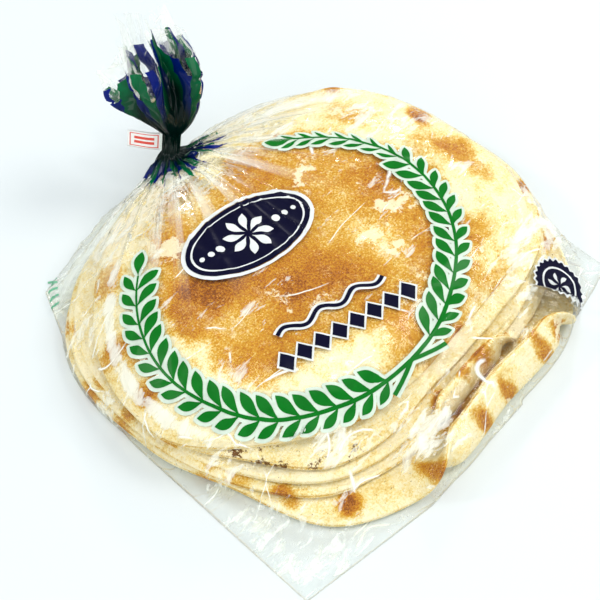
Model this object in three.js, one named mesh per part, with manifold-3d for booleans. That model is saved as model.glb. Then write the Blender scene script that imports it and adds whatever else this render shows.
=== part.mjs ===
// A clear bag of five large flat breads, lying flat, with its gathered neck closed by a paper tape.
// Millimetres, +Z up. The origin is on the table under the middle of the stack. +Y points to the
// neck, and +X to the right of it, seen from above.
import * as THREE from 'three';
import { mergeVertices } from 'three/addons/utils/BufferGeometryUtils.js';
import Module from 'manifold-3d';

const wasm = await Module();
wasm.setup();

// The breads, from the bottom up: how far each rim reaches from the origin on its four sides, and
// how square each quarter of it is (2 is an ellipse).
const breads = [
  { west: 143, east: 145, north: 130, south: 138, northwest: 2.9, southwest: 2.7, southeast: 2.7 },
  { west: 143, east: 147, north: 130, south: 113, northwest: 2.8, southwest: 2.9, southeast: 2.7 },
  { west: 141, east: 146, north: 131, south: 105, northwest: 2.6, southwest: 3.0, southeast: 2.8 },
  { west: 137, east: 147, north: 129, south: 98, northwest: 2.1, southwest: 3.1, southeast: 2.9 },
  { west: 142, east: 142, north: 127, south: 88, northwest: 2.1, southwest: 2.2, southeast: 2.9 },
];
const northeastSquare = 2.5;
const dent = 9;               // how far all the rims are pressed in on the southwest side
const dentDirection = 202;    // degrees
const dentWidth = 25;
const seamPress = 6;          // how far the seam presses the bottom bread's rim straight
const seamPressDirection = 276;
const seamPressWidth = 28;
const stackTop = 48;          // film over the middle of the top bread
const rimTop = 34;            // top of the top bread's rim
const rimDroop = 9;           // how much lower that rim hangs on its west side
const droopDirection = 165;   // degrees
const droopWidth = 62;
const rimLift = 4;            // and how much higher it stands on its east side
const liftDirection = 20;
const liftWidth = 60;
const neckLift = 3;           // how much higher the film stands over the rim below the neck
const neckDirection = 80;
const neckWidth = 42;
const rimRound = 2.6;         // depth of the rounded rim of one bread
const crownStart = 0.62;      // share of the reach where the top bread starts to fall to its rim
const crownPower = 1.9;

// The bottom bread is bent up along the seam in a straight lip, with a valley behind it.
const lipHeight = 18;
const lipLean = 10;           // how far its crest leans back over the bread
const lipValley = 24;
const lipThickness = 6;
const lipFrom = 240;          // degrees
const lipTo = 304;
const lipFadeIn = 15;
const lipFadeOut = 9;

// The bag's film: its plain half width, and the corners that stand out past the breads.
const spokes = 96;
const spokeStep = 360 / spokes;
const filmReach = 143;
const seamReach = 136;
const seamTurn = 7.8;         // degrees that the seam turns in towards the east corner
const corners = [
  { spoke: 58, reach: 197, plain: filmReach + 3 },
  { spoke: 85, reach: 178, plain: filmReach },
  { spoke: 34, reach: 167, plain: filmReach + 9 },
];
const neckNotch = 13;         // how far the film is drawn in where it rises to the neck
const notchWidth = 26;
const cornerFade = 0.4;       // radians past a corner in which its wider film falls to the plain width
const filmLoose = 1.5;        // least room between a rim and the film's edge
const filmEdge = 0.8;         // height of the folded edge that lies on the table
const tentPower = 2.2;        // how quickly a corner falls to the table

// The paper tape: a band round the tie with a glued tab to one side.
const tapeWidth = 11;
const tapeGap = 0.3;
const tapeThickness = 0.9;
const tabLength = 21;
const tabDirection = new THREE.Vector3(-0.58, 0.81, 0.06);

// The neck: film gathered from the stack up to the tie, and the loose frill past it.
const waist = new THREE.Vector3(10, 128, 45);
const waistAxis = new THREE.Vector3(0.35, 0.19, 0.92).normalize();
const waistRadius = 5.4;
const gatherWidth = 118;
const gatherDepth = 32;
const gatherDrop = 9;         // from the tape down to where the gathered film meets the neck
const gatherEnd = waist.clone().addScaledVector(waistAxis, -tapeWidth / 2 - gatherDrop);
const frillEnd = new THREE.Vector3(25, 159, 112);
const frillRadius = 27;
const frillOpens = 0.62;      // share of its length in which it opens out to that radius
const frillCloses = 0.2;      // how much narrower its mouth is, as a share
const frillFlat = 0.8;        // depth of the frill, as a share of its width
const frillPleats = 8;
// Its petals: direction round the neck and half width in degrees, how far each leans out and rises.
const frillPetals = [
  { turn: 4, width: 40, out: 16, rise: -18 },
  { turn: -54, width: 36, out: 5, rise: 9 },
  { turn: 74, width: 46, out: 7, rise: -4 },
  { turn: 150, width: 40, out: 7, rise: -6 },
  { turn: -128, width: 46, out: 1, rise: 5 },
];
const dishDepth = 20;
const filmPly = 3;            // the gathered film's wall, many folds thick
const neckSides = 56;
const gatherSteps = 6;
const frillSteps = 10;

const radians = THREE.MathUtils.degToRad;
const clamp = THREE.MathUtils.clamp;

// Distance between two directions in degrees, never more than half a turn.
function turnBetween(a, b) {
  const turn = Math.abs(a - b) % 360;
  return Math.min(turn, 360 - turn);
}

// From 0 to 1 with a soft start and end.
function smooth(value) {
  const share = clamp(value, 0, 1);
  return share * share * (3 - 2 * share);
}

// 1 in a direction, falling smoothly to 0 at a width to either side of it.
function bump(degrees, middle, width) {
  const share = clamp(turnBetween(degrees, middle) / width, 0, 1);
  return 0.5 + 0.5 * Math.cos(Math.PI * share);
}

function breadReach(bread, degrees) {
  const across = Math.cos(radians(degrees));
  const along = Math.sin(radians(degrees));
  const halfX = across > 0 ? bread.east : bread.west;
  const halfY = along > 0 ? bread.north : bread.south;
  const north = across > 0 ? northeastSquare : bread.northwest;
  const south = across > 0 ? bread.southeast : bread.southwest;
  const power = along > 0 ? north : south;
  const sum = Math.abs(across / halfX) ** power + Math.abs(along / halfY) ** power;
  const uneven = 0.8 * Math.sin(radians(5 * degrees + 40 * bread.south));
  const pressed = bread === breads[0] ? seamPress * bump(degrees, seamPressDirection, seamPressWidth) : 0;
  return sum ** (-1 / power) + uneven - dent * bump(degrees, dentDirection, dentWidth) - pressed;
}

// The film's outline: straight runs that meet in the corners, and a straight seam to the south.
function outlineReach(degrees) {
  let reach = filmReach;
  for (const corner of corners) {
    const slope = Math.acos(corner.plain / corner.reach);
    const turn = radians(turnBetween(degrees, corner.spoke * spokeStep));
    const fade = corner.plain + (filmReach - corner.plain) * smooth((turn - slope) / cornerFade);
    reach = Math.max(reach, turn < slope ? corner.plain / Math.cos(slope - turn) : fade);
  }
  reach -= neckNotch * bump(degrees, neckDirection, notchWidth);
  const toSeam = -Math.sin(radians(degrees));
  if (toSeam > 0.5) {
    const toCorner = corners.some((c) => turnBetween(degrees, c.spoke * spokeStep) < spokeStep / 2);
    const turnedIn = radians(degrees - 270 - seamTurn);
    if (!toCorner) reach = Math.min(reach, seamReach / toSeam);
    if (!toCorner && turnedIn > 0) reach = Math.min(reach, seamReach / Math.cos(turnedIn));
  }
  return Math.max(reach, breadReach(breads[0], degrees) + filmLoose);
}

// Height of the lip along the seam in one direction.
function lipAt(degrees) {
  return lipHeight * smooth(Math.min((degrees - lipFrom) / lipFadeIn, (lipTo - degrees) / lipFadeOut));
}

// The stack in its film, cut in one direction from the middle of its top to the table: a list of
// distances from the origin and heights, falling past the rim of each bread in turn.
function stackProfile(degrees) {
  const droop = rimDroop * bump(degrees, droopDirection, droopWidth);
  const lift = rimLift * bump(degrees, liftDirection, liftWidth);
  const top = rimTop - droop + lift + neckLift * bump(degrees, neckDirection, neckWidth);
  const pitch = top / breads.length;
  const topReach = breadReach(breads[breads.length - 1], degrees) - rimRound;
  const profile = [];
  for (const share of [0.3, 0.55, 0.7, 0.8, 0.89, 0.95]) {
    const fall = clamp((share - crownStart) / (1 - crownStart), 0, 1) ** crownPower;
    profile.push([share * topReach, stackTop - share * share - (stackTop - top) * fall]);
  }
  for (let level = breads.length; level > 1; level--) {
    const reach = breadReach(breads[level - 1], degrees);
    profile.push([reach - rimRound, level * pitch - 0.3]);
    profile.push([reach, (level - 0.5) * pitch]);
    profile.push([reach - rimRound, (level - 1) * pitch + 0.3]);
  }
  const lip = lipAt(degrees);
  const lipShare = lip / lipHeight;
  const bottomReach = breadReach(breads[0], degrees);
  const above = breadReach(breads[1], degrees) - rimRound;
  const valley = Math.max(bottomReach - lipValley, above + 0.5);
  const crest = Math.max(bottomReach - lipLean - lipThickness, valley + 0.8);
  profile.push([valley, pitch]);
  profile.push([crest, pitch - 0.2 + lip]);
  profile.push([Math.max(bottomReach - lipLean * lipShare - rimRound, crest + 0.8), pitch - 0.8 + lip]);
  profile.push([bottomReach, pitch * 0.5 + 0.3 * lip]);

  // The film hangs from the rims to its own edge, lower and further out towards the corners.
  const edge = outlineReach(degrees);
  const hung = profile.map(([reach, height]) => {
    const slack = Math.max(edge - filmLoose - reach, 0);
    const hang = clamp(1 - height / top, 0, 1) ** tentPower;
    return [reach + slack * hang * (1 - lipShare), height];
  });
  hung.push([edge, filmEdge]);
  hung.push([edge - 3, 0]);
  return hung;
}

// A closed skin over rings of points that all have the same count, from a first to a last point.
function ringSkin(first, rings, last) {
  const count = rings[0].length;
  const points = [first, ...rings.flat(), last];
  const end = points.length - 1;
  const faces = [];
  const at = (ring, side) => 1 + ring * count + (side % count);
  for (let side = 0; side < count; side++) {
    faces.push(0, at(0, side), at(0, side + 1));
    faces.push(end, at(rings.length - 1, side + 1), at(rings.length - 1, side));
    for (let ring = 0; ring < rings.length - 1; ring++) {
      faces.push(at(ring, side), at(ring + 1, side), at(ring + 1, side + 1));
      faces.push(at(ring, side), at(ring + 1, side + 1), at(ring, side + 1));
    }
  }
  const geometry = new THREE.BufferGeometry();
  geometry.setAttribute('position', new THREE.Float32BufferAttribute(points.flatMap((p) => p.toArray()), 3));
  geometry.setIndex(faces);
  return geometry;
}

function stackGeometry() {
  const profiles = [];
  for (let spoke = 0; spoke < spokes; spoke++) profiles.push(stackProfile(spoke * spokeStep));
  const rings = profiles[0].map((_, station) => profiles.map((profile, spoke) => {
    const [reach, height] = profile[station];
    const turn = radians(spoke * spokeStep);
    return new THREE.Vector3(reach * Math.cos(turn), reach * Math.sin(turn), height);
  }));
  return ringSkin(new THREE.Vector3(0, 0, stackTop), rings, new THREE.Vector3(0, 0, 0));
}

// One pleated section of the neck: an oval across the path. Open runs from 0 to 1, and moves the
// petals of the frill out and along the path.
function neckRing(centre, axis, across, halfWidth, halfDepth, pleat, open) {
  const wide = across.clone().addScaledVector(axis, -across.dot(axis)).normalize();
  const deep = new THREE.Vector3().crossVectors(wide, axis);
  const ring = [];
  for (let side = 0; side < neckSides; side++) {
    const turn = (2 * Math.PI * side) / neckSides;
    const folds = Math.sin(frillPleats * turn) + 0.5 * Math.sin((frillPleats - 3) * turn + 1);
    const swell = 1 + pleat * folds;
    let out = 0;
    let rise = 0;
    for (const petal of frillPetals) {
      const share = bump(THREE.MathUtils.radToDeg(turn), petal.turn, petal.width);
      out += share * petal.out * open ** 1.6;
      rise += share * petal.rise * open ** 2;
    }
    ring.push(centre.clone()
      .addScaledVector(wide, (halfWidth * swell + out) * Math.cos(turn))
      .addScaledVector(deep, (halfDepth * swell + out) * Math.sin(turn))
      .addScaledVector(axis, rise));
  }
  return ring;
}

// The film drawn together over the stack's edge: a flattened cone up to just under the tie.
function gatherGeometry() {
  const foot = new THREE.Vector3(4, 90, 27);
  const axis = gatherEnd.clone().sub(foot).normalize();
  const rings = [];
  for (let step = 0; step <= gatherSteps; step++) {
    const share = step / gatherSteps;
    const narrow = (1 - share) ** 1.25;
    const halfWidth = waistRadius + (gatherWidth / 2 - waistRadius) * narrow;
    const halfDepth = waistRadius + (gatherDepth / 2 - waistRadius) * narrow;
    const centre = foot.clone().lerp(gatherEnd, share);
    rings.push(neckRing(centre, axis, new THREE.Vector3(-1, 0, 0), halfWidth, halfDepth, 0.06, 0));
  }
  return ringSkin(foot.clone().addScaledVector(axis, -2), rings, gatherEnd.clone().addScaledVector(axis, 2));
}

// The round tied waist, and past it the frill with its open mouth.
function neckGeometry() {
  const along = (distance) => waist.clone().addScaledVector(waistAxis, distance);
  const round = (distance, radius) => neckRing(along(distance), waistAxis, tabDirection, radius, radius, 0, 0);
  const half = tapeWidth / 2 + 0.5;
  const rings = [
    round(-half - gatherDrop - 5, waistRadius + 1),
    round(-half - gatherDrop, waistRadius + 1.5),
    round(-half, waistRadius),
    round(half, waistRadius),
  ];
  const frill = new THREE.QuadraticBezierCurve3(along(half), along(half + 25), frillEnd);
  const frillRing = (share, ply) => {
    const opening = Math.sin((Math.PI / 2) * Math.min(share / frillOpens, 1));
    const closing = 1 - frillCloses * smooth((share - frillOpens) / (1 - frillOpens));
    const wide = waistRadius + (frillRadius * closing - waistRadius) * opening - ply;
    const deep = wide * (1 - (1 - frillFlat) * opening);
    const pleat = 0.03 + 0.06 * share;
    return neckRing(frill.getPoint(share), frill.getTangent(share), tabDirection, wide, deep, pleat, share);
  };
  for (let step = 1; step <= frillSteps; step++) rings.push(frillRing(step / frillSteps, 0));
  const dishFloor = 1 - dishDepth / frill.getLength();
  for (const share of [1, (1 + dishFloor) / 2, dishFloor]) rings.push(frillRing(share, filmPly));
  return ringSkin(along(-half - gatherDrop - 7), rings, frill.getPoint(dishFloor));
}

function toSolid(geometry) {
  const plain = geometry.clone();
  plain.deleteAttribute('normal');
  plain.deleteAttribute('uv');
  const merged = mergeVertices(plain, 1e-4);
  return new wasm.Manifold(new wasm.Mesh({
    numProp: 3,
    vertProperties: Float32Array.from(merged.attributes.position.array),
    triVerts: Uint32Array.from(merged.index.array),
  }));
}

function toGeometry(solid) {
  const mesh = solid.getMesh();
  const geometry = new THREE.BufferGeometry();
  geometry.setAttribute('position', new THREE.BufferAttribute(mesh.vertProperties, 3));
  geometry.setIndex(new THREE.BufferAttribute(mesh.triVerts, 1));
  geometry.computeVertexNormals();
  return geometry;
}

function filledBag() {
  const material = new THREE.MeshStandardMaterial({ color: 0xe6cf9c, roughness: 0.35, metalness: 0 });
  const solid = toSolid(stackGeometry()).add(toSolid(gatherGeometry())).add(toSolid(neckGeometry()));
  const bag = new THREE.Mesh(toGeometry(solid), material);
  bag.name = 'filled_bag';
  return bag;
}

function closingTape() {
  const inside = waistRadius + tapeGap;
  const outside = inside + tapeThickness;
  const open = Math.asin(tapeThickness / outside);
  const outline = new THREE.Shape();
  outline.absarc(0, 0, outside, open, 2 * Math.PI - open, false);
  outline.lineTo(outside + tabLength, -tapeThickness);
  outline.lineTo(outside + tabLength, tapeThickness);
  outline.closePath();
  const bore = new THREE.Path();
  bore.absarc(0, 0, inside, 0, 2 * Math.PI, true);
  outline.holes.push(bore);
  const geometry = new THREE.ExtrudeGeometry(outline, { depth: tapeWidth, bevelEnabled: false, curveSegments: 32 });
  geometry.translate(0, 0, -tapeWidth / 2);

  const wide = tabDirection.clone().addScaledVector(waistAxis, -tabDirection.dot(waistAxis)).normalize();
  const deep = new THREE.Vector3().crossVectors(waistAxis, wide);
  const material = new THREE.MeshStandardMaterial({ color: 0xf4f1ea, roughness: 0.6, metalness: 0 });
  const tape = new THREE.Mesh(geometry, material);
  tape.name = 'closing_tape';
  tape.setRotationFromMatrix(new THREE.Matrix4().makeBasis(wide, deep, waistAxis));
  tape.position.copy(waist);
  return tape;
}

const pack = new THREE.Group();
pack.add(filledBag(), closingTape());

export default pack;
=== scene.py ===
# A clear bag of five flat breads, lying flat, gathered and taped at the neck. The geometry is
# worked out in millimetres from the same sizes as the CAD model, and each mesh is made in metres.
import functools
import math

import bpy
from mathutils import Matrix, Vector, noise
from mathutils.bvhtree import BVHTree


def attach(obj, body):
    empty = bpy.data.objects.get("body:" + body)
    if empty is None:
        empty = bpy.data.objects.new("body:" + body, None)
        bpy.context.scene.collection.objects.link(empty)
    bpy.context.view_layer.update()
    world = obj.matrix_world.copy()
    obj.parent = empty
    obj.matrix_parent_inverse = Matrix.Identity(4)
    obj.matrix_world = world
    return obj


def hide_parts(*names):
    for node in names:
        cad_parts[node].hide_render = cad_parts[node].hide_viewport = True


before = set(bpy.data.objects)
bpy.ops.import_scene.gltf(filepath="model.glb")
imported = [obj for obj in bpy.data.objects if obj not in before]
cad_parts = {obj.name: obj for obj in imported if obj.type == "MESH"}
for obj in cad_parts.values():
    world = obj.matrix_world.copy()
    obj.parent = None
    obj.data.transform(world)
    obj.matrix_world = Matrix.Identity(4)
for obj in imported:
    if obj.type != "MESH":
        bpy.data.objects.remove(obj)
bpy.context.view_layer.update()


# The breads: five large rounds of flat leavened bread, two thin layers baked into one blistered
# disc with a pale pinched rim. They are stacked a little unevenly. The top one hangs over its west
# side, and the two lowest are bent up along the seam of the bag.
MM = 0.001
# How far each rim reaches on its four sides, from the bottom up, and how square each quarter is.
BREADS = [
    {"west": 143, "east": 145, "north": 130, "south": 138, "nw": 2.9, "sw": 2.7, "se": 2.7},
    {"west": 143, "east": 147, "north": 130, "south": 113, "nw": 2.8, "sw": 2.9, "se": 2.7},
    {"west": 141, "east": 146, "north": 131, "south": 105, "nw": 2.6, "sw": 3.0, "se": 2.8},
    {"west": 137, "east": 147, "north": 129, "south": 98, "nw": 2.1, "sw": 3.1, "se": 2.9},
    {"west": 142, "east": 142, "north": 127, "south": 88, "nw": 2.1, "sw": 2.2, "se": 2.9},
]
NORTHEAST_SQUARE = 2.5      # how square that quarter is for all of them (2 is an ellipse)
DENT = 9.0                  # how far all the rims are pressed in on the southwest side
DENT_DIRECTION = 202.0
DENT_WIDTH = 25.0
SEAM_PRESS = 6.0            # how far the seam presses the bottom bread's rim straight
SEAM_PRESS_DIRECTION = 276.0
SEAM_PRESS_WIDTH = 28.0
STACK_TOP = 47.0
STACK_SWELL = 1.4           # how far broad swells lift the whole stack
RIM_TOP = 33.0              # height of the top bread's rim, which droops on one side,
RIM_DROOP = 9.0
DROOP_DIRECTION = 165.0
DROOP_WIDTH = 62.0
RIM_LIFT = 4.0              # and stands higher on another
LIFT_DIRECTION = 20.0
LIFT_WIDTH = 60.0
NECK_DIRECTION = 80.0
CROWN_START = 0.62          # share of the reach at which the top starts to fall to the rim
CROWN_POWER = 1.9
RIM_INSET = 3.0             # how far in from its outline the middle line of a rim ends
RIM_TAPER = 16.0            # over what width a rim gets thinner and hangs a little
RIM_WOBBLE = 2.6            # how uneven the outlines are,
LOWEST_WOBBLE = 1.2         # and that of the lowest bread, which the film holds
# Breads whose seam side is bent up: its directions, the radius of the bend at its foot, the straight
# stretch above that, and the degrees that it turns, past upright and back over the bread.
LIPS = {
    1: {"from": 240, "to": 304, "fade_in": 15, "fade_out": 9, "bend": 6.0, "rise": 16.0, "turn": 120},
    2: {"from": 247, "to": 294, "fade_in": 11, "fade_out": 11, "bend": 5.0, "rise": 11.0, "turn": 110},
}
BREAD_GAP = 0.5
BREAD_FOOT = 0.35       # least height of an underside over the table
BREAD_SIDES = 300
CRUMB_RINGS = 58
BEND_STEPS = 14
RISE_STEPS = 8
RIM_STEPS = 13
UNDERSIDE_STRIDE = 3    # every third ring of the top is enough below
RIM_GROOVE = 0.42       # depth of the seam along the rim, where its two layers meet
SEAM_TOAST = 0.4        # and how much browner it is than the crust
BROAD_SWELL = 0.8       # how far the broad swells of a crust stand out,
BLISTER = 1.5           # its blisters,
PIMPLE = 0.35           # its pimples,
GRAIN = 0.12            # its grain,
PUCKER = 3.4            # and the puckers that the pinched rim draws in it
COVERED_RELIEF = 0.35   # share of that relief on the breads below the top one


def clamp(value, low=0.0, high=1.0):
    return max(low, min(high, value))


def smooth(value):
    share = clamp(value)
    return share * share * (3 - 2 * share)


def turn_between(a, b):
    turn = abs(a - b) % 360
    return min(turn, 360 - turn)


def bump(degrees, middle, width):
    """A soft hill round a circle: 1 in its middle direction, and 0 a width away to both sides."""
    return 0.5 + 0.5 * math.cos(math.pi * clamp(turn_between(degrees, middle) / width))


def polar(reach, degrees, height):
    """A point at a reach from the middle, in a direction from 0 to 360 that starts in the east."""
    turn = math.radians(degrees)
    return Vector((reach * math.cos(turn), reach * math.sin(turn), height))


def bread_reach(bread, degrees):
    """How far the rim of a bread reaches in a direction."""
    across, along = math.cos(math.radians(degrees)), math.sin(math.radians(degrees))
    half_x = bread["east"] if across > 0 else bread["west"]
    half_y = bread["north"] if along > 0 else bread["south"]
    north = NORTHEAST_SQUARE if across > 0 else bread["nw"]
    power = north if along > 0 else bread["se" if across > 0 else "sw"]
    reach = (abs(across / half_x) ** power + abs(along / half_y) ** power) ** (-1 / power)
    uneven = 0.8 * math.sin(math.radians(5 * degrees + 40 * bread["south"]))
    pressed = DENT * bump(degrees, DENT_DIRECTION, DENT_WIDTH)
    if bread is BREADS[0]:
        pressed += SEAM_PRESS * bump(degrees, SEAM_PRESS_DIRECTION, SEAM_PRESS_WIDTH)
    return reach + uneven - pressed


def rim_height(degrees):
    lift = RIM_LIFT * bump(degrees, LIFT_DIRECTION, LIFT_WIDTH)
    return RIM_TOP + lift - RIM_DROOP * bump(degrees, DROOP_DIRECTION, DROOP_WIDTH)


def stack_height(level, reach, degrees):
    """Height of the top of the bread at a level, without its own blisters."""
    share = reach / (bread_reach(BREADS[-1], degrees) - RIM_INSET)
    fall = clamp((share - CROWN_START) / (1 - CROWN_START)) ** CROWN_POWER
    top = STACK_TOP - (STACK_TOP - rim_height(degrees)) * fall
    swell = STACK_SWELL * noise.noise(polar(reach, degrees, 0) * 0.022) * smooth(share * 1.4)
    return (top + swell) * level / len(BREADS)


def lip_share(level, degrees):
    """How far the bread at a level is bent up in a direction, from 0 to 1."""
    lip = LIPS.get(level)
    if lip is None:
        return 0.0
    return smooth(min((degrees - lip["from"]) / lip["fade_in"], (lip["to"] - degrees) / lip["fade_out"]))


def crust_relief(level, spot):
    """Blisters, puckers and fine grain that stand out of a crust at a spot, in millimetres."""
    seeded = spot + Vector((311.0 * level, 97.0 * level, 0))
    reach, turn = math.hypot(spot.x, spot.y), math.atan2(spot.y, spot.x)
    broad = noise.noise(seeded * 0.035)
    blister = smooth(1 - noise.voronoi(seeded * 0.045)[0][0] * 1.5)
    pimple = smooth(1 - noise.voronoi(seeded * 0.17)[0][0] * 1.6)
    around = Vector((reach * 0.06, 1.7 * math.cos(turn) + 3.0 * level, 1.7 * math.sin(turn)))
    near_rim = smooth((reach - 72) / 30)
    fine = PIMPLE * pimple + GRAIN * noise.noise(seeded * 0.6)
    puckers = PUCKER * noise.noise(around) * near_rim * (1 + 0.6 * bump(math.degrees(turn), 10, 70))
    return BROAD_SWELL * broad + BLISTER * blister * smooth(broad + 0.5) + puckers + fine


def bread_line(level, degrees):
    """The middle line of one bread in one direction, as (reach, height, half thickness)."""
    reach = bread_reach(BREADS[level - 1], degrees)
    around = Vector((math.cos(math.radians(degrees)), math.sin(math.radians(degrees)), 0))
    wobble = noise.noise(around * 3 + Vector((0, 0, level * 7.3)))
    reach += (RIM_WOBBLE if level > 1 else LOWEST_WOBBLE) * wobble
    lip, share = LIPS.get(level), lip_share(level, degrees)
    flat = reach - RIM_INSET
    if lip:
        bent = lip["bend"] * math.radians(lip["turn"]) + lip["rise"]
        flat -= bent * (1 - share) + (lip["bend"] + 1) * share
    line = []
    for ring in range(CRUMB_RINGS):
        at = flat * (ring / (CRUMB_RINGS - 1)) ** 0.85
        top = stack_height(level, at, degrees)
        thick = top / level - BREAD_GAP
        edge = 0 if lip else smooth((at - flat + RIM_TAPER) / RIM_TAPER)
        drop = edge * (1.0 + 1.4 * wobble)
        line.append((at, top - thick / 2 - BREAD_GAP / 2 - drop * 0.5, thick * (0.5 - 0.07 * edge)))
    if lip:
        last, height, half = line[-1]
        turn = max(math.radians(lip["turn"]) * share, 1e-3)
        radius = lip["bend"] * math.radians(lip["turn"]) / turn
        for step in range(1, BEND_STEPS + 1):
            angle = turn * step / BEND_STEPS
            rise = radius * (1 - math.cos(angle))
            line.append((last + radius * math.sin(angle), height + rise, half * 0.95))
        foot = line[-1]
        for step in range(1, RISE_STEPS + 1):
            run = lip["rise"] * step / RISE_STEPS
            thin = half * (0.95 - 0.12 * step / RISE_STEPS)
            line.append((foot[0] + run * math.cos(turn), foot[1] + run * math.sin(turn), thin))
    return line


def slope_at(line, station):
    """The direction of a line of (reach, height) at one of its stations."""
    ahead, behind = line[min(station + 1, len(line) - 1)], line[max(station - 1, 0)]
    return Vector((ahead[0] - behind[0], 0, ahead[1] - behind[1])).normalized()


def upward_from(slope, level):
    """Which way a bread is thick: across its slope if its rim is bent up, or else straight up."""
    return Vector((-slope.z, 0, slope.x)) if level in LIPS else Vector((0, 0, 1))


def make_piece(name, points, faces, material, values=None, round_shading=True):
    """A mesh object in metres from points in millimetres, riding on the only body."""
    mesh = bpy.data.meshes.new(name)
    mesh.from_pydata([point * MM for point in points], [], faces)
    mesh.validate()
    for label, numbers in (values or {}).items():
        mesh.attributes.new(label, "FLOAT", "POINT").data.foreach_set("value", numbers)
    mesh.polygons.foreach_set("use_smooth", [round_shading] * len(mesh.polygons))
    mesh.materials.append(material)
    piece = bpy.data.objects.new(name, mesh)
    bpy.context.scene.collection.objects.link(piece)
    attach(piece, "root")
    return piece


def ring_faces(count, rings):
    """Quads between rings that follow one another, each with the same count of points."""
    faces = []
    for ring in range(rings - 1):
        for side in range(count):
            a = ring * count + side
            b = ring * count + (side + 1) % count
            faces.append((a, a + count, b + count, b))
    return faces


def closed_faces(count, rings):
    """Those quads, and fans that close the first and the last ring to two points after them."""
    faces = ring_faces(count, rings)
    top, last = count * rings, count * (rings - 1)
    for side in range(count):
        after = (side + 1) % count
        faces.append((top, side, after))
        faces.append((top + 1, last + after, last + side))
    return faces


# Baked patches that the pack shows: the level of the bread, middle, radius and strength, which is
# below 0 where the crust is paler instead.
TOASTED_PATCHES = [
    (5, 43, 14, 26, -0.16), (5, -60, 28, 14, 0.55), (5, -70, 42, 11, 0.45), (5, -52, 66, 12, 0.3),
    (5, -30, -6, 12, 0.2), (2, 14, -106, 8, 0.6), (2, -2, -104, 5, 0.5), (2, -28, -101, 6, 0.6),
    (2, 44, -102, 6, 0.5), (5, 116, 86, 7, 0.7), (5, 133, 30, 9, 0.85), (5, 128, 24, 6, 0.5),
    (5, 120, -10, 13, 0.5), (5, 110, 6, 12, 0.25), (5, 117, -30, 9, 0.35), (4, 134, -50, 6, 0.8),
    (4, 126, -74, 6, 0.6), (5, 100, 60, 16, 0.25), (3, 126, -66, 8, 0.6), (4, 108, -62, 9, 0.4),
    (5, 19, -93, 8, 0.8), (5, 4, -94, 7, 0.6), (5, -44, -93, 8, 0.6), (3, -18, -106, 6, 0.7),
    (3, -24, -104, 5, 0.8), (1, -100, -102, 8, 0.9), (1, -117, -76, 7, 0.6), (2, -127, -46, 7, 0.4),
    (5, -129, 17, 10, 0.75), (1, -137, 27, 7, 0.6), (2, -137, 27, 7, 0.5), (1, -130, 57, 9, 0.6),
    (2, -130, 53, 8, 0.5), (1, -108, 98, 10, 0.6), (2, -112, 90, 9, 0.5), (5, -88, 88, 13, 0.4),
    (1, -131, -28, 8, 0.5), (2, -130, -30, 7, 0.5), (2, -119, -71, 6, 0.75), (5, -112, 40, 12, 0.35),
    (1, 121, -75, 9, 0.8), (2, 118, -84, 8, 0.7), (5, -120, 55, 10, 0.4), (3, -136, -6, 7, 0.5),
]
PLAIN_TOAST = 0.07      # browning of any crust outside those patches
TOP_TOAST = 0.45        # and more of it on the top crust, up to its pale edge
TOP_TOAST_REACH = 104.0
TOP_MOTTLE = 0.46
PALE_EDGE = 232.0       # direction in which the top crust stays pale further in
PALE_EDGE_REACH = 58.0
PALE_EDGE_DEPTH = 0.3025
LIP_BARS = [69, 53, 18, -8, -52]        # places along the seam where the folded rim is baked in bars
LIP_BAR_WIDTH = 5.0
LIP_BAR_TOAST = 0.72
LIP_MIDDLE = 17.0       # height of their middle
VALLEY_SHADE = 0.42     # painted shade: extra browning that darkens the hollow between the two folded rims
VALLEY_FROM, VALLEY_TO = 92.0, 127.0
VALLEY_TOP = 12.0
# The scorched strip of specks along the edge of the second bread from the top, from one direction
# to another, how far in from the rim its middle is, and the specks that every crust has.
SCORCH_LEVEL = 4
SCORCH_FROM, SCORCH_TO, SCORCH_FADE = 191.0, 233.0, 7.0
SCORCH_INSET = 6.0
SCORCHED = 1.1
PLAIN_SPECKS = 0.12


def toast_and_shade(level, spot):
    """How strongly the oven has browned a crust at a spot, from 0 to 1, plus painted shade in one
    hollow.
    """
    reach, degrees = math.hypot(spot.x, spot.y), math.degrees(math.atan2(spot.y, spot.x)) % 360
    ragged = 9 * noise.noise(spot * 0.03 + Vector((0, 0, 40 * level)))
    torn = 14 * noise.noise(spot * 0.055 + Vector((7, 0, 9 * level))) + 8 * noise.noise(spot * 0.14)
    value = PLAIN_TOAST
    if level == len(BREADS):
        mottle = noise.noise(spot * 0.026 + Vector((9, 4, 0)))
        value += TOP_TOAST * smooth((TOP_TOAST_REACH + ragged * 1.4 + torn - reach) / 16)
        value += TOP_MOTTLE * mottle * smooth((TOP_TOAST_REACH + 4 - reach) / 20)
        pale = bump(degrees, PALE_EDGE, 60) * smooth((reach - PALE_EDGE_REACH + torn) / 14)
        value -= PALE_EDGE_DEPTH * pale
    for patch_level, x, y, radius, strength in TOASTED_PATCHES:
        if patch_level == level:
            away = math.hypot(spot.x - x, spot.y - y) + ragged * 0.35 + torn * 0.25
            value += strength * smooth(1.3 - away / radius)
    if level == 1 and lip_share(1, degrees) > 0.1 and spot.z > 5:
        for bar in LIP_BARS:
            aside = spot.x - bar + 0.35 * spot.z + ragged * 0.5
            away = math.hypot(aside, 0.45 * (spot.z - LIP_MIDDLE)) + torn * 0.24
            value += LIP_BAR_TOAST * smooth(1.5 - away / LIP_BAR_WIDTH)
    # Painted shade: the hollow between the two folded rims is browned darker, as if in its shadow.
    if level == 1:
        across = smooth((reach - VALLEY_FROM) / 10) * smooth((VALLEY_TO - reach) / 6)
        value += VALLEY_SHADE * lip_share(2, degrees) * across * smooth((VALLEY_TOP - spot.z) / 4)
    return clamp(value)


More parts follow.
